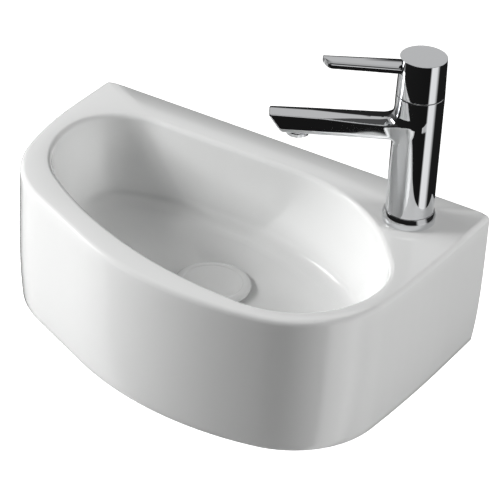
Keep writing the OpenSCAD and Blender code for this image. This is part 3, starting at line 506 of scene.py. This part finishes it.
# %% [markdown]
# The tap's column and spout are one brass casting with soft, flowing joins, polished and plated.
# Plating shows every facet, so this skin is made from a distance field: a formula that says how far
# any point is from the metal. Smooth joins come free with it, and so do exact normals.

# %% Distance field of the column and spout
SPOUT_AZIMUTH = 210
COLUMN_LOW_R, COLUMN_TOP_R, FOOT_H, COLUMN_H = 22.1, 21.9, 3, 128.2
SPOUT_TOP_H, SPOUT_T, SPOUT_REACH, NOSE_SLANT = 102.3, 17.8, 133, 13.2
TOP_ROOT_HALF, TOP_NOSE_HALF, LOW_ROOT_HALF, LOW_NOSE_HALF = 13.5, 8.6, 12, 10.5
NEAR_SHOULDER, NEAR_SLOPE = ((23, 58, 92), (3.5, 5.8, 10.4)), 0.3
FAR_SHOULDER, FAR_SLOPE = ((39, 66, 94, 133), (0.2, 2.2, 4.8, 5.2)), 0.12
FAR_EXTRA_ROOT, FAR_EXTRA_NOSE = 2.4, 1
SPOUT_START = 6
SHOULDER_BLEND, SIDE_BLEND, LOW_BLEND, NOSE_BLEND = 0.15, 1.3, 5.5, 2.2
ROOT_BLEND_LOW, ROOT_BLEND_TOP = 5, 13


def blend_max(a, b, width):
    share = np.maximum(width - np.abs(a - b), 0) / width
    return np.maximum(a, b) + share * share * width / 4


def blend_min(a, b, width):
    return -blend_max(-a, -b, width)


def spout_field(x, y, z):
    along_spout = np.clip(x / SPOUT_REACH, 0, 1)
    far_extra = FAR_EXTRA_ROOT + (FAR_EXTRA_NOSE - FAR_EXTRA_ROOT) * along_spout
    top_half = TOP_ROOT_HALF + (TOP_NOSE_HALF - TOP_ROOT_HALF) * along_spout
    top_half = top_half + np.where(y < 0, far_extra, 0)
    low_half = LOW_ROOT_HALF + (LOW_NOSE_HALF - LOW_ROOT_HALF) * along_spout
    low_h = SPOUT_TOP_H - SPOUT_T
    lean = (low_half - top_half) / SPOUT_T
    side = (np.abs(y) - low_half + lean * (z - low_h)) / np.sqrt(1 + lean * lean)
    flat_half = np.where(y < 0, np.interp(x, *FAR_SHOULDER), np.interp(x, *NEAR_SHOULDER))
    slope = np.where(y < 0, FAR_SLOPE, NEAR_SLOPE)
    shoulder = (z - SPOUT_TOP_H + slope * (np.abs(y) - flat_half)) / np.hypot(1, slope)
    nose = (x - SPOUT_REACH) * SPOUT_T - (z - SPOUT_TOP_H) * NOSE_SLANT
    top = blend_max(z - SPOUT_TOP_H, shoulder, SHOULDER_BLEND)
    body = blend_max(blend_max(side, top, SIDE_BLEND), low_h - z, LOW_BLEND)
    body = np.maximum(body, SPOUT_START - x)
    return blend_max(body, nose / math.hypot(SPOUT_T, NOSE_SLANT), NOSE_BLEND)


def tap_field(x, y, z):
    radius = COLUMN_LOW_R + (COLUMN_TOP_R - COLUMN_LOW_R) * (z - FOOT_H) / (COLUMN_H - FOOT_H)
    above = np.clip((z - SPOUT_TOP_H + SPOUT_T) / SPOUT_T, 0, 1)
    width = ROOT_BLEND_LOW + (ROOT_BLEND_TOP - ROOT_BLEND_LOW) * above
    return blend_min(np.hypot(x, y) - radius, spout_field(x, y, z), width)


# %% Skin of a distance field: one point in each cell that the surface crosses
def skin_field(field, low, high, step):
    axes = [np.arange(a, b + step, step) for a, b in zip(low, high)]
    values = field(*np.meshgrid(*axes, indexing="ij"))
    inside = values < 0
    corners = [inside[i:inside.shape[0] - 1 + i, j:inside.shape[1] - 1 + j, k:inside.shape[2] - 1 + k]
               for i in (0, 1) for j in (0, 1) for k in (0, 1)]
    count = sum(c.astype(int) for c in corners)
    crossed = (count > 0) & (count < 8)
    index = np.full(crossed.shape, -1)
    cells = np.argwhere(crossed)
    index[crossed] = np.arange(len(cells))
    points = np.array(low) + (cells + 0.5) * step
    faces = []
    for axis in range(3):
        first = np.take(inside, range(inside.shape[axis] - 1), axis=axis)
        second = np.take(inside, range(1, inside.shape[axis]), axis=axis)
        edges = np.argwhere(first != second)
        others = [a for a in range(3) if a != axis]
        room = np.all([(edges[:, a] > 0) & (edges[:, a] < crossed.shape[a]) for a in others], axis=0)
        edges = edges[room]
        outward = first[tuple(edges.T)]
        loops = []
        for shift in ((0, 0), (-1, 0), (-1, -1), (0, -1)):
            cell = edges.copy()
            cell[:, others[0]] += shift[0]
            cell[:, others[1]] += shift[1]
            loops.append(index[tuple(cell.T)])
        quads = np.stack(loops, axis=1)
        flip = outward if axis == 1 else ~outward
        quads[flip] = quads[flip][:, ::-1]
        faces.append(quads)
    return points, np.concatenate(faces)


def field_slope(field, points, gap=0.05):
    slope = np.zeros_like(points)
    for axis in range(3):
        shift = np.zeros(3)
        shift[axis] = gap
        slope[:, axis] = (field(*(points + shift).T) - field(*(points - shift).T)) / (2 * gap)
    return slope


def settle(field, points, rounds=6):
    for _ in range(rounds):
        slope = field_slope(field, points)
        points = points - slope * (field(*points.T) / np.maximum((slope ** 2).sum(axis=1), 1e-6))[:, None]
    return points


# %% Local frame of the tap
tap_frame = (Matrix.Translation(Vector((TAP_X, TAP_Y, DECK_Z)) * MM)
             @ Matrix.Rotation(math.radians(SPOUT_AZIMUTH), 4, "Z"))


def place_at_tap(piece):
    piece.data.transform(tap_frame)


# %% The column's skin, cut flat at its foot and below the lip at its top
LIP_H = 0.6
SKIN_STEP, SKIN_SIDE, SKIN_REACH, SKIN_MARGIN = 0.8, 26, 138, 2.4


def tap_skin():
    low = (-SKIN_SIDE, -SKIN_SIDE, FOOT_H - SKIN_MARGIN)
    high = (SKIN_REACH, SKIN_SIDE, COLUMN_H + SKIN_MARGIN)
    points, faces = skin_field(tap_field, low, high, SKIN_STEP)
    points = settle(tap_field, points)
    piece = link_mesh("tap_casting", points, [tuple(int(i) for i in quad) for quad in faces], chrome, None)
    mesh = bmesh.new()
    mesh.from_mesh(piece.data)
    for height, side in ((FOOT_H, -1), (COLUMN_H - LIP_H, 1)):
        geometry = mesh.verts[:] + mesh.edges[:] + mesh.faces[:]
        bmesh.ops.bisect_plane(mesh, geom=geometry, plane_co=(0, 0, height * MM), plane_no=(0, 0, side),
                               clear_outer=True)
    mesh.to_mesh(piece.data)
    mesh.free()
    at = np.array([v.co[:] for v in piece.data.vertices]) / MM
    normals = field_slope(tap_field, at)
    normals /= np.linalg.norm(normals, axis=1)[:, None]
    return piece, at, normals


casting, casting_points, casting_normals = tap_skin()
print("tap casting points:", len(casting_points))


# %% Lathe helpers
TURNED_EDGE_ANGLE = 32


def lathe(name, profile, material, body, segments=128, place=None):
    """Turns a closed profile of (radius, height) points round the Z axis."""
    points, faces = [], []
    count = len(profile)
    for i in range(segments):
        angle = 2 * math.pi * i / segments
        points += [(r * math.cos(angle), r * math.sin(angle), z) for r, z in profile]
    for i in range(segments):
        k = (i + 1) % segments
        for j in range(count):
            m = (j + 1) % count
            if profile[j][0] or profile[m][0]:
                faces.append((i * count + j, k * count + j, k * count + m, i * count + m))
    piece = link_mesh(name, points, faces, material, body)
    mesh = bmesh.new()
    mesh.from_mesh(piece.data)
    bmesh.ops.remove_doubles(mesh, verts=mesh.verts[:], dist=1e-7)
    bmesh.ops.recalc_face_normals(mesh, faces=mesh.faces[:])
    mesh.to_mesh(piece.data)
    mesh.free()
    if place:
        place(piece)
    smooth(piece, TURNED_EDGE_ANGLE)
    return piece


def rounded(profile, radii, steps=4):
    """Replaces each corner of a closed profile by a small arc of about its radius."""
    result = []
    count = len(profile)
    for i in range(count):
        here = np.array(profile[i], float)
        radius = radii.get(i, 0)
        if not radius:
            result.append(tuple(here))
            continue
        before = np.array(profile[i - 1], float) - here
        after = np.array(profile[(i + 1) % count], float) - here
        start = here + before / np.linalg.norm(before) * radius
        end = here + after / np.linalg.norm(after) * radius
        for t in np.linspace(0, 1, steps):
            result.append(tuple(start * (1 - t) ** 2 + here * 2 * t * (1 - t) + end * t * t))
    return result


# %% Join the column's skin to its turned bore
def join(pieces):
    with bpy.context.temp_override(active_object=pieces[0], selected_editable_objects=pieces):
        bpy.ops.object.join()
    return pieces[0]


SKIN_R = 21.905
BORE_R, BORE_STEP_R, BORE_STEP_H, BORE_FLOOR_H = 18.25, 17.5, 123, 106
SPARE_R, SPARE_H = 22.4, 105
lip = [(SKIN_R, COLUMN_H - LIP_H), (SKIN_R, 127.8), (21.8, 128), (21.5, COLUMN_H), (21.2, COLUMN_H)]
hollow = [(BORE_R, COLUMN_H), (BORE_R, BORE_STEP_H), (BORE_STEP_R, BORE_STEP_H),
          (BORE_STEP_R, BORE_FLOOR_H), (0, BORE_FLOOR_H)]
spare = [(0, SPARE_H), (SPARE_R, SPARE_H), (SPARE_R, COLUMN_H - LIP_H)]
bore = lathe("bore", lip + hollow + spare, chrome, None)
keep = bmesh.new()
keep.from_mesh(bore.data)
centres = [(face, face.calc_center_median()) for face in keep.faces]
spare_faces = [face for face, at in centres
               if math.hypot(at.x, at.y) > (SKIN_R + 0.1) * MM or at.z < (SPARE_H + 0.6) * MM]
bmesh.ops.delete(keep, geom=spare_faces, context="FACES")
keep.to_mesh(bore.data)
keep.free()
bore_normals = [tuple(c.vector) for c in bore.data.corner_normals]
casting_loop_normals = [tuple(casting_normals[l.vertex_index]) for l in casting.data.loops]
casting = join([casting, bore])
casting.data.polygons.foreach_set("use_smooth", [True] * len(casting.data.polygons))
casting.data.normals_split_custom_set(casting_loop_normals + bore_normals)
place_at_tap(casting)
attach(casting, "basin")
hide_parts("tap_body")
print("tap casting faces:", len(casting.data.polygons))

# %% Trim ring: a flat foot, an upright edge and a slope up to the column
TRIM_R, TRIM_EDGE_H, TRIM_TOP_R, TRIM_H = 24.5, 6.5, 22.65, 11
TRIM_BORE_R, TRIM_FOOT_BORE_R = 22.25, 16.2
trim_profile = [(TRIM_FOOT_BORE_R, FOOT_H), (TRIM_FOOT_BORE_R, 0), (TRIM_R, 0), (TRIM_R, TRIM_EDGE_H),
                (TRIM_TOP_R, TRIM_H), (TRIM_BORE_R, TRIM_H), (TRIM_BORE_R, FOOT_H)]
trim = lathe("trim_collar", rounded(trim_profile, {2: 0.4, 3: 1.2, 4: 0.3}), chrome, "basin",
             place=place_at_tap)
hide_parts("trim_ring")
print("trim ring faces:", len(trim.data.polygons))

# %% [markdown]
# The handle cap is a turned cup with a slot, and the lever is a flat bar that comes out of it. Real
# edges always have a small bevel, and it is what catches the light, so both get one.

# %% Handle cap: a turned cup with a seat for its top plate and a slot for the lever
CAP_LOW_R, CAP_TOP_R, CAP_TOP_H, CAP_LOW_H, CAP_RIM = 21.85, 21.05, 165, 128.8, 0.7
CAP_BORE_R, CAP_BORE_H, CAP_INNER_R = 19.35, 137.2, 18.4
PLATE_R, PLATE_SEAT_R, PLATE_LOW_H = 19.02, 19.03, 164.2
SLOT_HALF, SLOT_X, SLOT_END_X, SLOT_LOW_H, SLOT_TOP_H = 10.5, 14.61, 24, 150.8, 164.8
CAP_SEGMENTS = 160
cap_profile = [(CAP_BORE_R, CAP_LOW_H), (CAP_LOW_R, CAP_LOW_H), (CAP_TOP_R, CAP_TOP_H),
               (CAP_TOP_R - CAP_RIM, CAP_TOP_H), (PLATE_SEAT_R, CAP_TOP_H), (PLATE_SEAT_R, PLATE_LOW_H),
               (CAP_INNER_R, PLATE_LOW_H), (CAP_INNER_R, CAP_BORE_H), (CAP_BORE_R, CAP_BORE_H)]
cap = lathe("cap_shell", rounded(cap_profile, {1: 0.4, 2: 0.4}, steps=7), chrome, "handle",
            segments=CAP_SEGMENTS)
cut_box(cap, (SLOT_X, -SLOT_HALF, SLOT_LOW_H), (SLOT_END_X, SLOT_HALF, SLOT_TOP_H))
smooth(cap, TURNED_EDGE_ANGLE)
place_at_tap(cap)
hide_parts("handle_cap")
plate_profile = [(0, PLATE_LOW_H), (PLATE_R, PLATE_LOW_H), (PLATE_R, CAP_TOP_H), (0, CAP_TOP_H)]
disc = lathe("cap_plate", plate_profile, chrome, "handle", segments=CAP_SEGMENTS, place=place_at_tap)
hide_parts("cap_disc")
print("cap faces:", len(cap.data.polygons), "plate faces:", len(disc.data.polygons))

# %% Lever: its far edge is softly rounded, and its top falls a little towards the near edge
LEVER_TOP_H, LEVER_T, LEVER_REACH, LEVER_NEAR_REACH = 156.5, 5, 88, 83.2
LEVER_ROOT_HALF, LEVER_TIP_HALF, LEVER_TAIL = 10, 8, 6.5
TIP_CORNER_X, TIP_CORNER_Y = 0.5, 0.8
TIP_CURVE_X, TIP_CURVE_Y, TIP_CURVE_OUT, TIP_CURVE_RUN, TIP_CURVE_FLARE = 0.4, -3.0, 0.8, 4.5, 0.2


def lever_outline(far, near, tip_inset):
    """Outline of the lever with its far edge, near edge and tip moved in by the given amounts."""
    reach_far, reach_near = LEVER_REACH - tip_inset, LEVER_NEAR_REACH - tip_inset
    far_root, near_root = far - LEVER_ROOT_HALF, LEVER_ROOT_HALF - near
    far_tip, near_tip = far - LEVER_TIP_HALF, LEVER_TIP_HALF - near
    start = np.array((reach_far - TIP_CURVE_X, TIP_CURVE_Y))
    corner = np.array((reach_near + TIP_CURVE_OUT, near_tip))
    end = np.array((reach_near - TIP_CURVE_RUN, near_tip + TIP_CURVE_FLARE))
    tip = [(reach_far - TIP_CORNER_X, far_tip), (reach_far, far_tip + TIP_CORNER_Y)]
    tip += [tuple(point) for point in bend(start, corner, end, 9)]
    return [(-LEVER_TAIL, -LEVER_TAIL), (LEVER_TAIL, far_root), (CAP_LOW_R, far_root)] + tip + [
        (CAP_LOW_R, near_root), (LEVER_TAIL, near_root), (-LEVER_TAIL, LEVER_TAIL)]


def layered(name, layers, material, body):
    """A solid over outlines at rising heights, all with the same number of points."""
    count = len(layers[0][1])
    points = [(x, y, height) for height, outline in layers for x, y in outline]
    last = count * (len(layers) - 1)
    faces = [tuple(range(count))[::-1], tuple(range(last, last + count))]
    for j in range(len(layers) - 1):
        low = j * count
        faces += [(low + i, low + (i + 1) % count, low + (i + 1) % count + count, low + i + count)
                  for i in range(count)]
    return link_mesh(name, points, faces, material, body)


# Each edge step is how far it lies below the top, then the insets of the far edge, near edge and tip
LEVER_STEPS = ((LEVER_T, 0.4, 0.4, 0.4), (LEVER_T - 0.4, 0, 0, 0), (1.5, 0, 0, 0), (1.2, 0, 0, 0),
               (0.95, 0.02, 0.35, 0), (0.6, 0.12, 2.7, 0.05), (0.3, 0.35, 4.7, 0.1), (0.08, 0.8, 6.2, 0.2),
               (0, 1.2, 6.9, 0.4))
lever_layers = [(LEVER_TOP_H - drop, lever_outline(far, near, tip_inset))
                for drop, far, near, tip_inset in LEVER_STEPS]
lever = layered("flat_lever", lever_layers, chrome, "lever")
smooth(lever, TURNED_EDGE_ANGLE)
place_at_tap(lever)
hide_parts("lever")
print("lever faces:", len(lever.data.polygons))

# %% [markdown]
# The waste's cover is a disc of the same china as the basin, with a soft rim round a flat middle.

# %% Waste cover
FLOOR_Z = BASE_Z + FLOOR_H
COVER_R, COVER_UNDER_R, COVER_LOW_H, COVER_EDGE_H = 36, 35, 1.5, 2.5
COVER_SIDE_H, RIM_OUT_R, RIM_TOP_H, RIM_IN_R, RIM_IN_H = 5.9, 31, 7, 28.6, 6.9
FLAT_R, FLAT_H = 27.6, 6.5


def place_at_waste(piece):
    piece.data.transform(Matrix.Translation(Vector((WASTE[0], WASTE[1], FLOOR_Z)) * MM))


cover_profile = [(0, COVER_LOW_H), (COVER_UNDER_R, COVER_LOW_H), (COVER_R, COVER_EDGE_H),
                 (COVER_R, COVER_SIDE_H), (RIM_OUT_R, RIM_TOP_H), (RIM_IN_R, RIM_IN_H), (FLAT_R, FLAT_H),
                 (0, FLAT_H)]
cover_rounding = {1: 0.5, 2: 0.5, 3: 2.2, 4: 2.0, 5: 0.5, 6: 0.6}
cover = lathe("china_cover", rounded(cover_profile, cover_rounding, steps=8), glaze, "plug",
              place=place_at_waste)
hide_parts("waste_cover")

# %% [markdown]
# The other CAD nodes have their true shape already. They keep their solids and get the finish of
# their material slot.

# %% Finishes of the carried-over nodes
SLOT_FINISH = {"glazed_ceramic": glaze, "chrome": chrome, "brass": bare_brass, "steel": steel,
               "plastic": white_plastic, "disc_ceramic": disc_ceramic, "rubber": black_rubber}
for part in frame["record"]["subparts"]:
    node = frame["nodes"][part["node"]]
    node_finish = SLOT_FINISH[part["material_slot"]]
    for slot in node.material_slots:
        slot.material = node_finish
    if not node.material_slots:
        node.data.materials.append(node_finish)
print("carried-over nodes:", len(frame["nodes"]))

# %% [markdown]
# The basin hangs on a wall, so the floor lies well below it. The studio is white behind and below,
# dark towards the camera, and lit by large soft panels on the left and right. Polished chrome shows
# such a room as bands, so the world gives mirror rays those bands, and the camera a white ground.

# %% Floor
FLOOR_DROP, FLOOR_HALF = 0.75, 6
mesh = bpy.data.meshes.new("floor")
corners = [(x, y, -FLOOR_DROP) for x, y in ((-FLOOR_HALF, -FLOOR_HALF), (FLOOR_HALF, -FLOOR_HALF),
                                            (FLOOR_HALF, FLOOR_HALF), (-FLOOR_HALF, FLOOR_HALF))]
mesh.from_pydata(corners, [], [(0, 1, 2, 3)])
floor = bpy.data.objects.new("floor", mesh)
bpy.context.scene.collection.objects.link(floor)
paper = bpy.data.materials.new("pale_floor")
paper.use_nodes = True
paper_nodes, paper_links = paper.node_tree.nodes, paper.node_tree.links
paper_shader = paper_nodes["Principled BSDF"]
paper_shader.inputs["Base Color"].default_value = (0.8, 0.8, 0.8, 1)
paper_shader.inputs["Roughness"].default_value = 0.9
paper_shader.inputs["Emission Color"].default_value = (1, 1, 1, 1)
path = paper_nodes.new("ShaderNodeLightPath")
paper_links.new(math_node(paper_nodes, paper_links, "MULTIPLY", path.outputs["Is Camera Ray"], 0.9),
                paper_shader.inputs["Emission Strength"])
mesh.materials.append(paper)
floor.visible_glossy = False
print("floor:", 2 * FLOOR_HALF, "m square,", FLOOR_DROP, "m below the bolts")

# %% World
world = bpy.data.worlds.new("studio")
bpy.context.scene.world = world
world.use_nodes = True
nodes, links = world.node_tree.nodes, world.node_tree.links
nodes.clear()
output = nodes.new("ShaderNodeOutputWorld")
path = nodes.new("ShaderNodeLightPath")


def background(colour, strength):
    node = nodes.new("ShaderNodeBackground")
    if isinstance(colour, tuple):
        node.inputs["Color"].default_value = (*colour, 1)
    else:
        links.new(colour, node.inputs["Color"])
    node.inputs["Strength"].default_value = strength
    return node.outputs[0]


def mix(factor, a, b):
    node = nodes.new("ShaderNodeMixShader")
    links.new(factor, node.inputs[0])
    links.new(a, node.inputs[1])
    links.new(b, node.inputs[2])
    return node.outputs[0]


def colour_ramp(factor, stops):
    ramp = nodes.new("ShaderNodeValToRGB")
    elements = ramp.color_ramp.elements
    while len(elements) < len(stops):
        elements.new(0.5)
    for element, (place, value) in zip(elements, stops):
        element.position = place
        element.color = (value, value, value, 1)
    links.new(factor, ramp.inputs["Fac"])
    return ramp.outputs["Color"]


coords = nodes.new("ShaderNodeTexCoord").outputs["Generated"]
parts = nodes.new("ShaderNodeSeparateXYZ")
links.new(coords, parts.inputs[0])
bearing = math_node(nodes, links, "ARCTAN2", parts.outputs["Y"], parts.outputs["X"])
half_turn = math_node(nodes, links, "MULTIPLY", bearing, 0.5 / math.pi)
half_lift = math_node(nodes, links, "MULTIPLY", parts.outputs["Z"], 0.5)
turn_share = math_node(nodes, links, "ADD", half_turn, 0.5)
lift_share = math_node(nodes, links, "ADD", half_lift, 0.5)


def at_bearing(degrees):
    return ((degrees + 180) % 360) / 360


def at_height(degrees):
    return (math.sin(math.radians(degrees)) + 1) / 2


def around(stops):
    return colour_ramp(turn_share, sorted((at_bearing(degrees), value) for degrees, value in stops))


def blend_colours(factor, a, b):
    node = nodes.new("ShaderNodeMix")
    node.data_type = "RGBA"
    for label, value in (("Factor", factor), ("A", a), ("B", b)):
        if isinstance(value, tuple):
            node.inputs[label].default_value = (*value, 1)
        else:
            links.new(value, node.inputs[label])
    return node.outputs["Result"]


def step_up(low, high):
    return colour_ramp(lift_share, [(at_height(low), 0), (at_height(high), 1)])


# %% [markdown]
# Mirror rays see rings of brightness, one above the other. Each ring is a list of a direction in
# degrees and the brightness there: bright panels low on the right, a grey one on the left, a grey
# wall behind, and a dark room towards the camera. Above them is a dark band and a pale ceiling.

# %% What mirrors see
floor_ring = around([(-179, 0.42), (-160, 0.42), (-152, 0.012), (-24, 0.008), (-17, 0.9), (8, 0.86),
                     (24, 0.012), (145, 0.012), (155, 0.38), (179, 0.42)])
wall_ring = around([(-179, 0.1), (-152, 0.012), (-30, 0.01), (-20, 0.6), (8, 0.55), (22, 0.02),
                    (140, 0.02), (160, 0.1), (179, 0.1)])
back_ring = around([(-179, 0.5), (-160, 0.45), (-150, 0.04), (-42, 0.04), (-30, 0.5), (20, 0.5),
                    (60, 0.56), (120, 0.56), (179, 0.5)])
DARK_BAND, CEILING = (0.08, 0.08, 0.08), (0.85, 0.85, 0.85)
mirror_room = floor_ring
for low, high, look in ((-10, -4, wall_ring), (18, 26, back_ring), (44, 49, DARK_BAND), (68, 74, CEILING)):
    mirror_room = blend_colours(step_up(low, high), mirror_room, look)


def panel_mask(bearing_deg, height_deg, half_width, half_height, soft=0.02):
    """Where a mirror ray meets an upright panel seen in the given direction."""
    turn, tilt = math.radians(bearing_deg), math.radians(height_deg)
    forward = (math.cos(turn) * math.cos(tilt), math.sin(turn) * math.cos(tilt), math.sin(tilt))
    across = (-math.sin(turn), math.cos(turn), 0)
    upward = (-math.cos(turn) * math.sin(tilt), -math.sin(turn) * math.sin(tilt), math.cos(tilt))
    mask = None
    for axis, half in ((across, half_width), (upward, half_height)):
        dot = nodes.new("ShaderNodeVectorMath")
        dot.operation = "DOT_PRODUCT"
        links.new(coords, dot.inputs[0])
        dot.inputs[1].default_value = axis
        limit = nodes.new("ShaderNodeMapRange")
        limit.inputs["From Min"].default_value = math.sin(math.radians(half)) + soft
        limit.inputs["From Max"].default_value = math.sin(math.radians(half))
        links.new(math_node(nodes, links, "ABSOLUTE", dot.outputs["Value"], 0), limit.inputs["Value"])
        edge = limit.outputs["Result"]
        mask = edge if mask is None else math_node(nodes, links, "MULTIPLY", mask, edge)
    ahead = nodes.new("ShaderNodeVectorMath")
    ahead.operation = "DOT_PRODUCT"
    links.new(coords, ahead.inputs[0])
    ahead.inputs[1].default_value = forward
    return math_node(nodes, links, "MULTIPLY", mask,
                     math_node(nodes, links, "GREATER_THAN", ahead.outputs["Value"], 0))


# %% [markdown]
# The strong panel on the left is small and much brighter than the rings, so it has a mask of its
# own. Rays that are neither mirror rays nor the camera's get only a trace of light from the world.

# %% Key panel and the world's output
KEY_BEARING, KEY_HEIGHT, KEY_HALF_WIDTH, KEY_HALF_HEIGHT, KEY_PANEL_GLOW = 198, 24, 8, 6, 4.0
AMBIENT = 0.005
key_mask = panel_mask(KEY_BEARING, KEY_HEIGHT, KEY_HALF_WIDTH, KEY_HALF_HEIGHT)
mirror_room = blend_colours(key_mask, mirror_room, (KEY_PANEL_GLOW, KEY_PANEL_GLOW, KEY_PANEL_GLOW))
ambient = background((1, 1, 1), AMBIENT)
mirror = background(mirror_room, 1)
camera_white = background((1, 1, 1), 1)
shaded = mix(path.outputs["Is Glossy Ray"], ambient, mirror)
links.new(mix(path.outputs["Is Camera Ray"], shaded, camera_white), output.inputs["Surface"])
print("world nodes:", len(nodes))


# %% [markdown]
# Five square lamps light the china: a strong one on the left with a softer one above it and one
# below it, and weaker ones on the right and behind it. Mirror rays pass through them.

# %% Soft panels
PANEL_DISTANCE = 2.3
PANEL_TARGET = Vector((0, -0.13, 0))


def panel(name, bearing_deg, height_deg, size, watts):
    light = bpy.data.lights.new(name, "AREA")
    light.shape = "SQUARE"
    light.size = size
    light.energy = watts
    lamp = bpy.data.objects.new(name, light)
    turn, tilt = math.radians(bearing_deg), math.radians(height_deg)
    offset = Vector((math.cos(turn) * math.cos(tilt), math.sin(turn) * math.cos(tilt), math.sin(tilt)))
    lamp.location = PANEL_TARGET + offset * PANEL_DISTANCE
    lamp.rotation_euler = offset.to_track_quat("Z", "Y").to_euler()
    lamp.visible_glossy = False
    bpy.context.scene.collection.objects.link(lamp)


panel("key_panel", 205, 25, 1.0, 52)
panel("high_key_panel", 205, 45, 0.7, 4)
panel("low_side_panel", 180, 10, 0.7, 24)
panel("right_panel", 355, 15, 0.9, 9)
panel("back_right_panel", 20, 30, 0.9, 25)
print("lamps:", len(bpy.data.lights))
bpy.context.scene.view_settings.view_transform = "Standard"
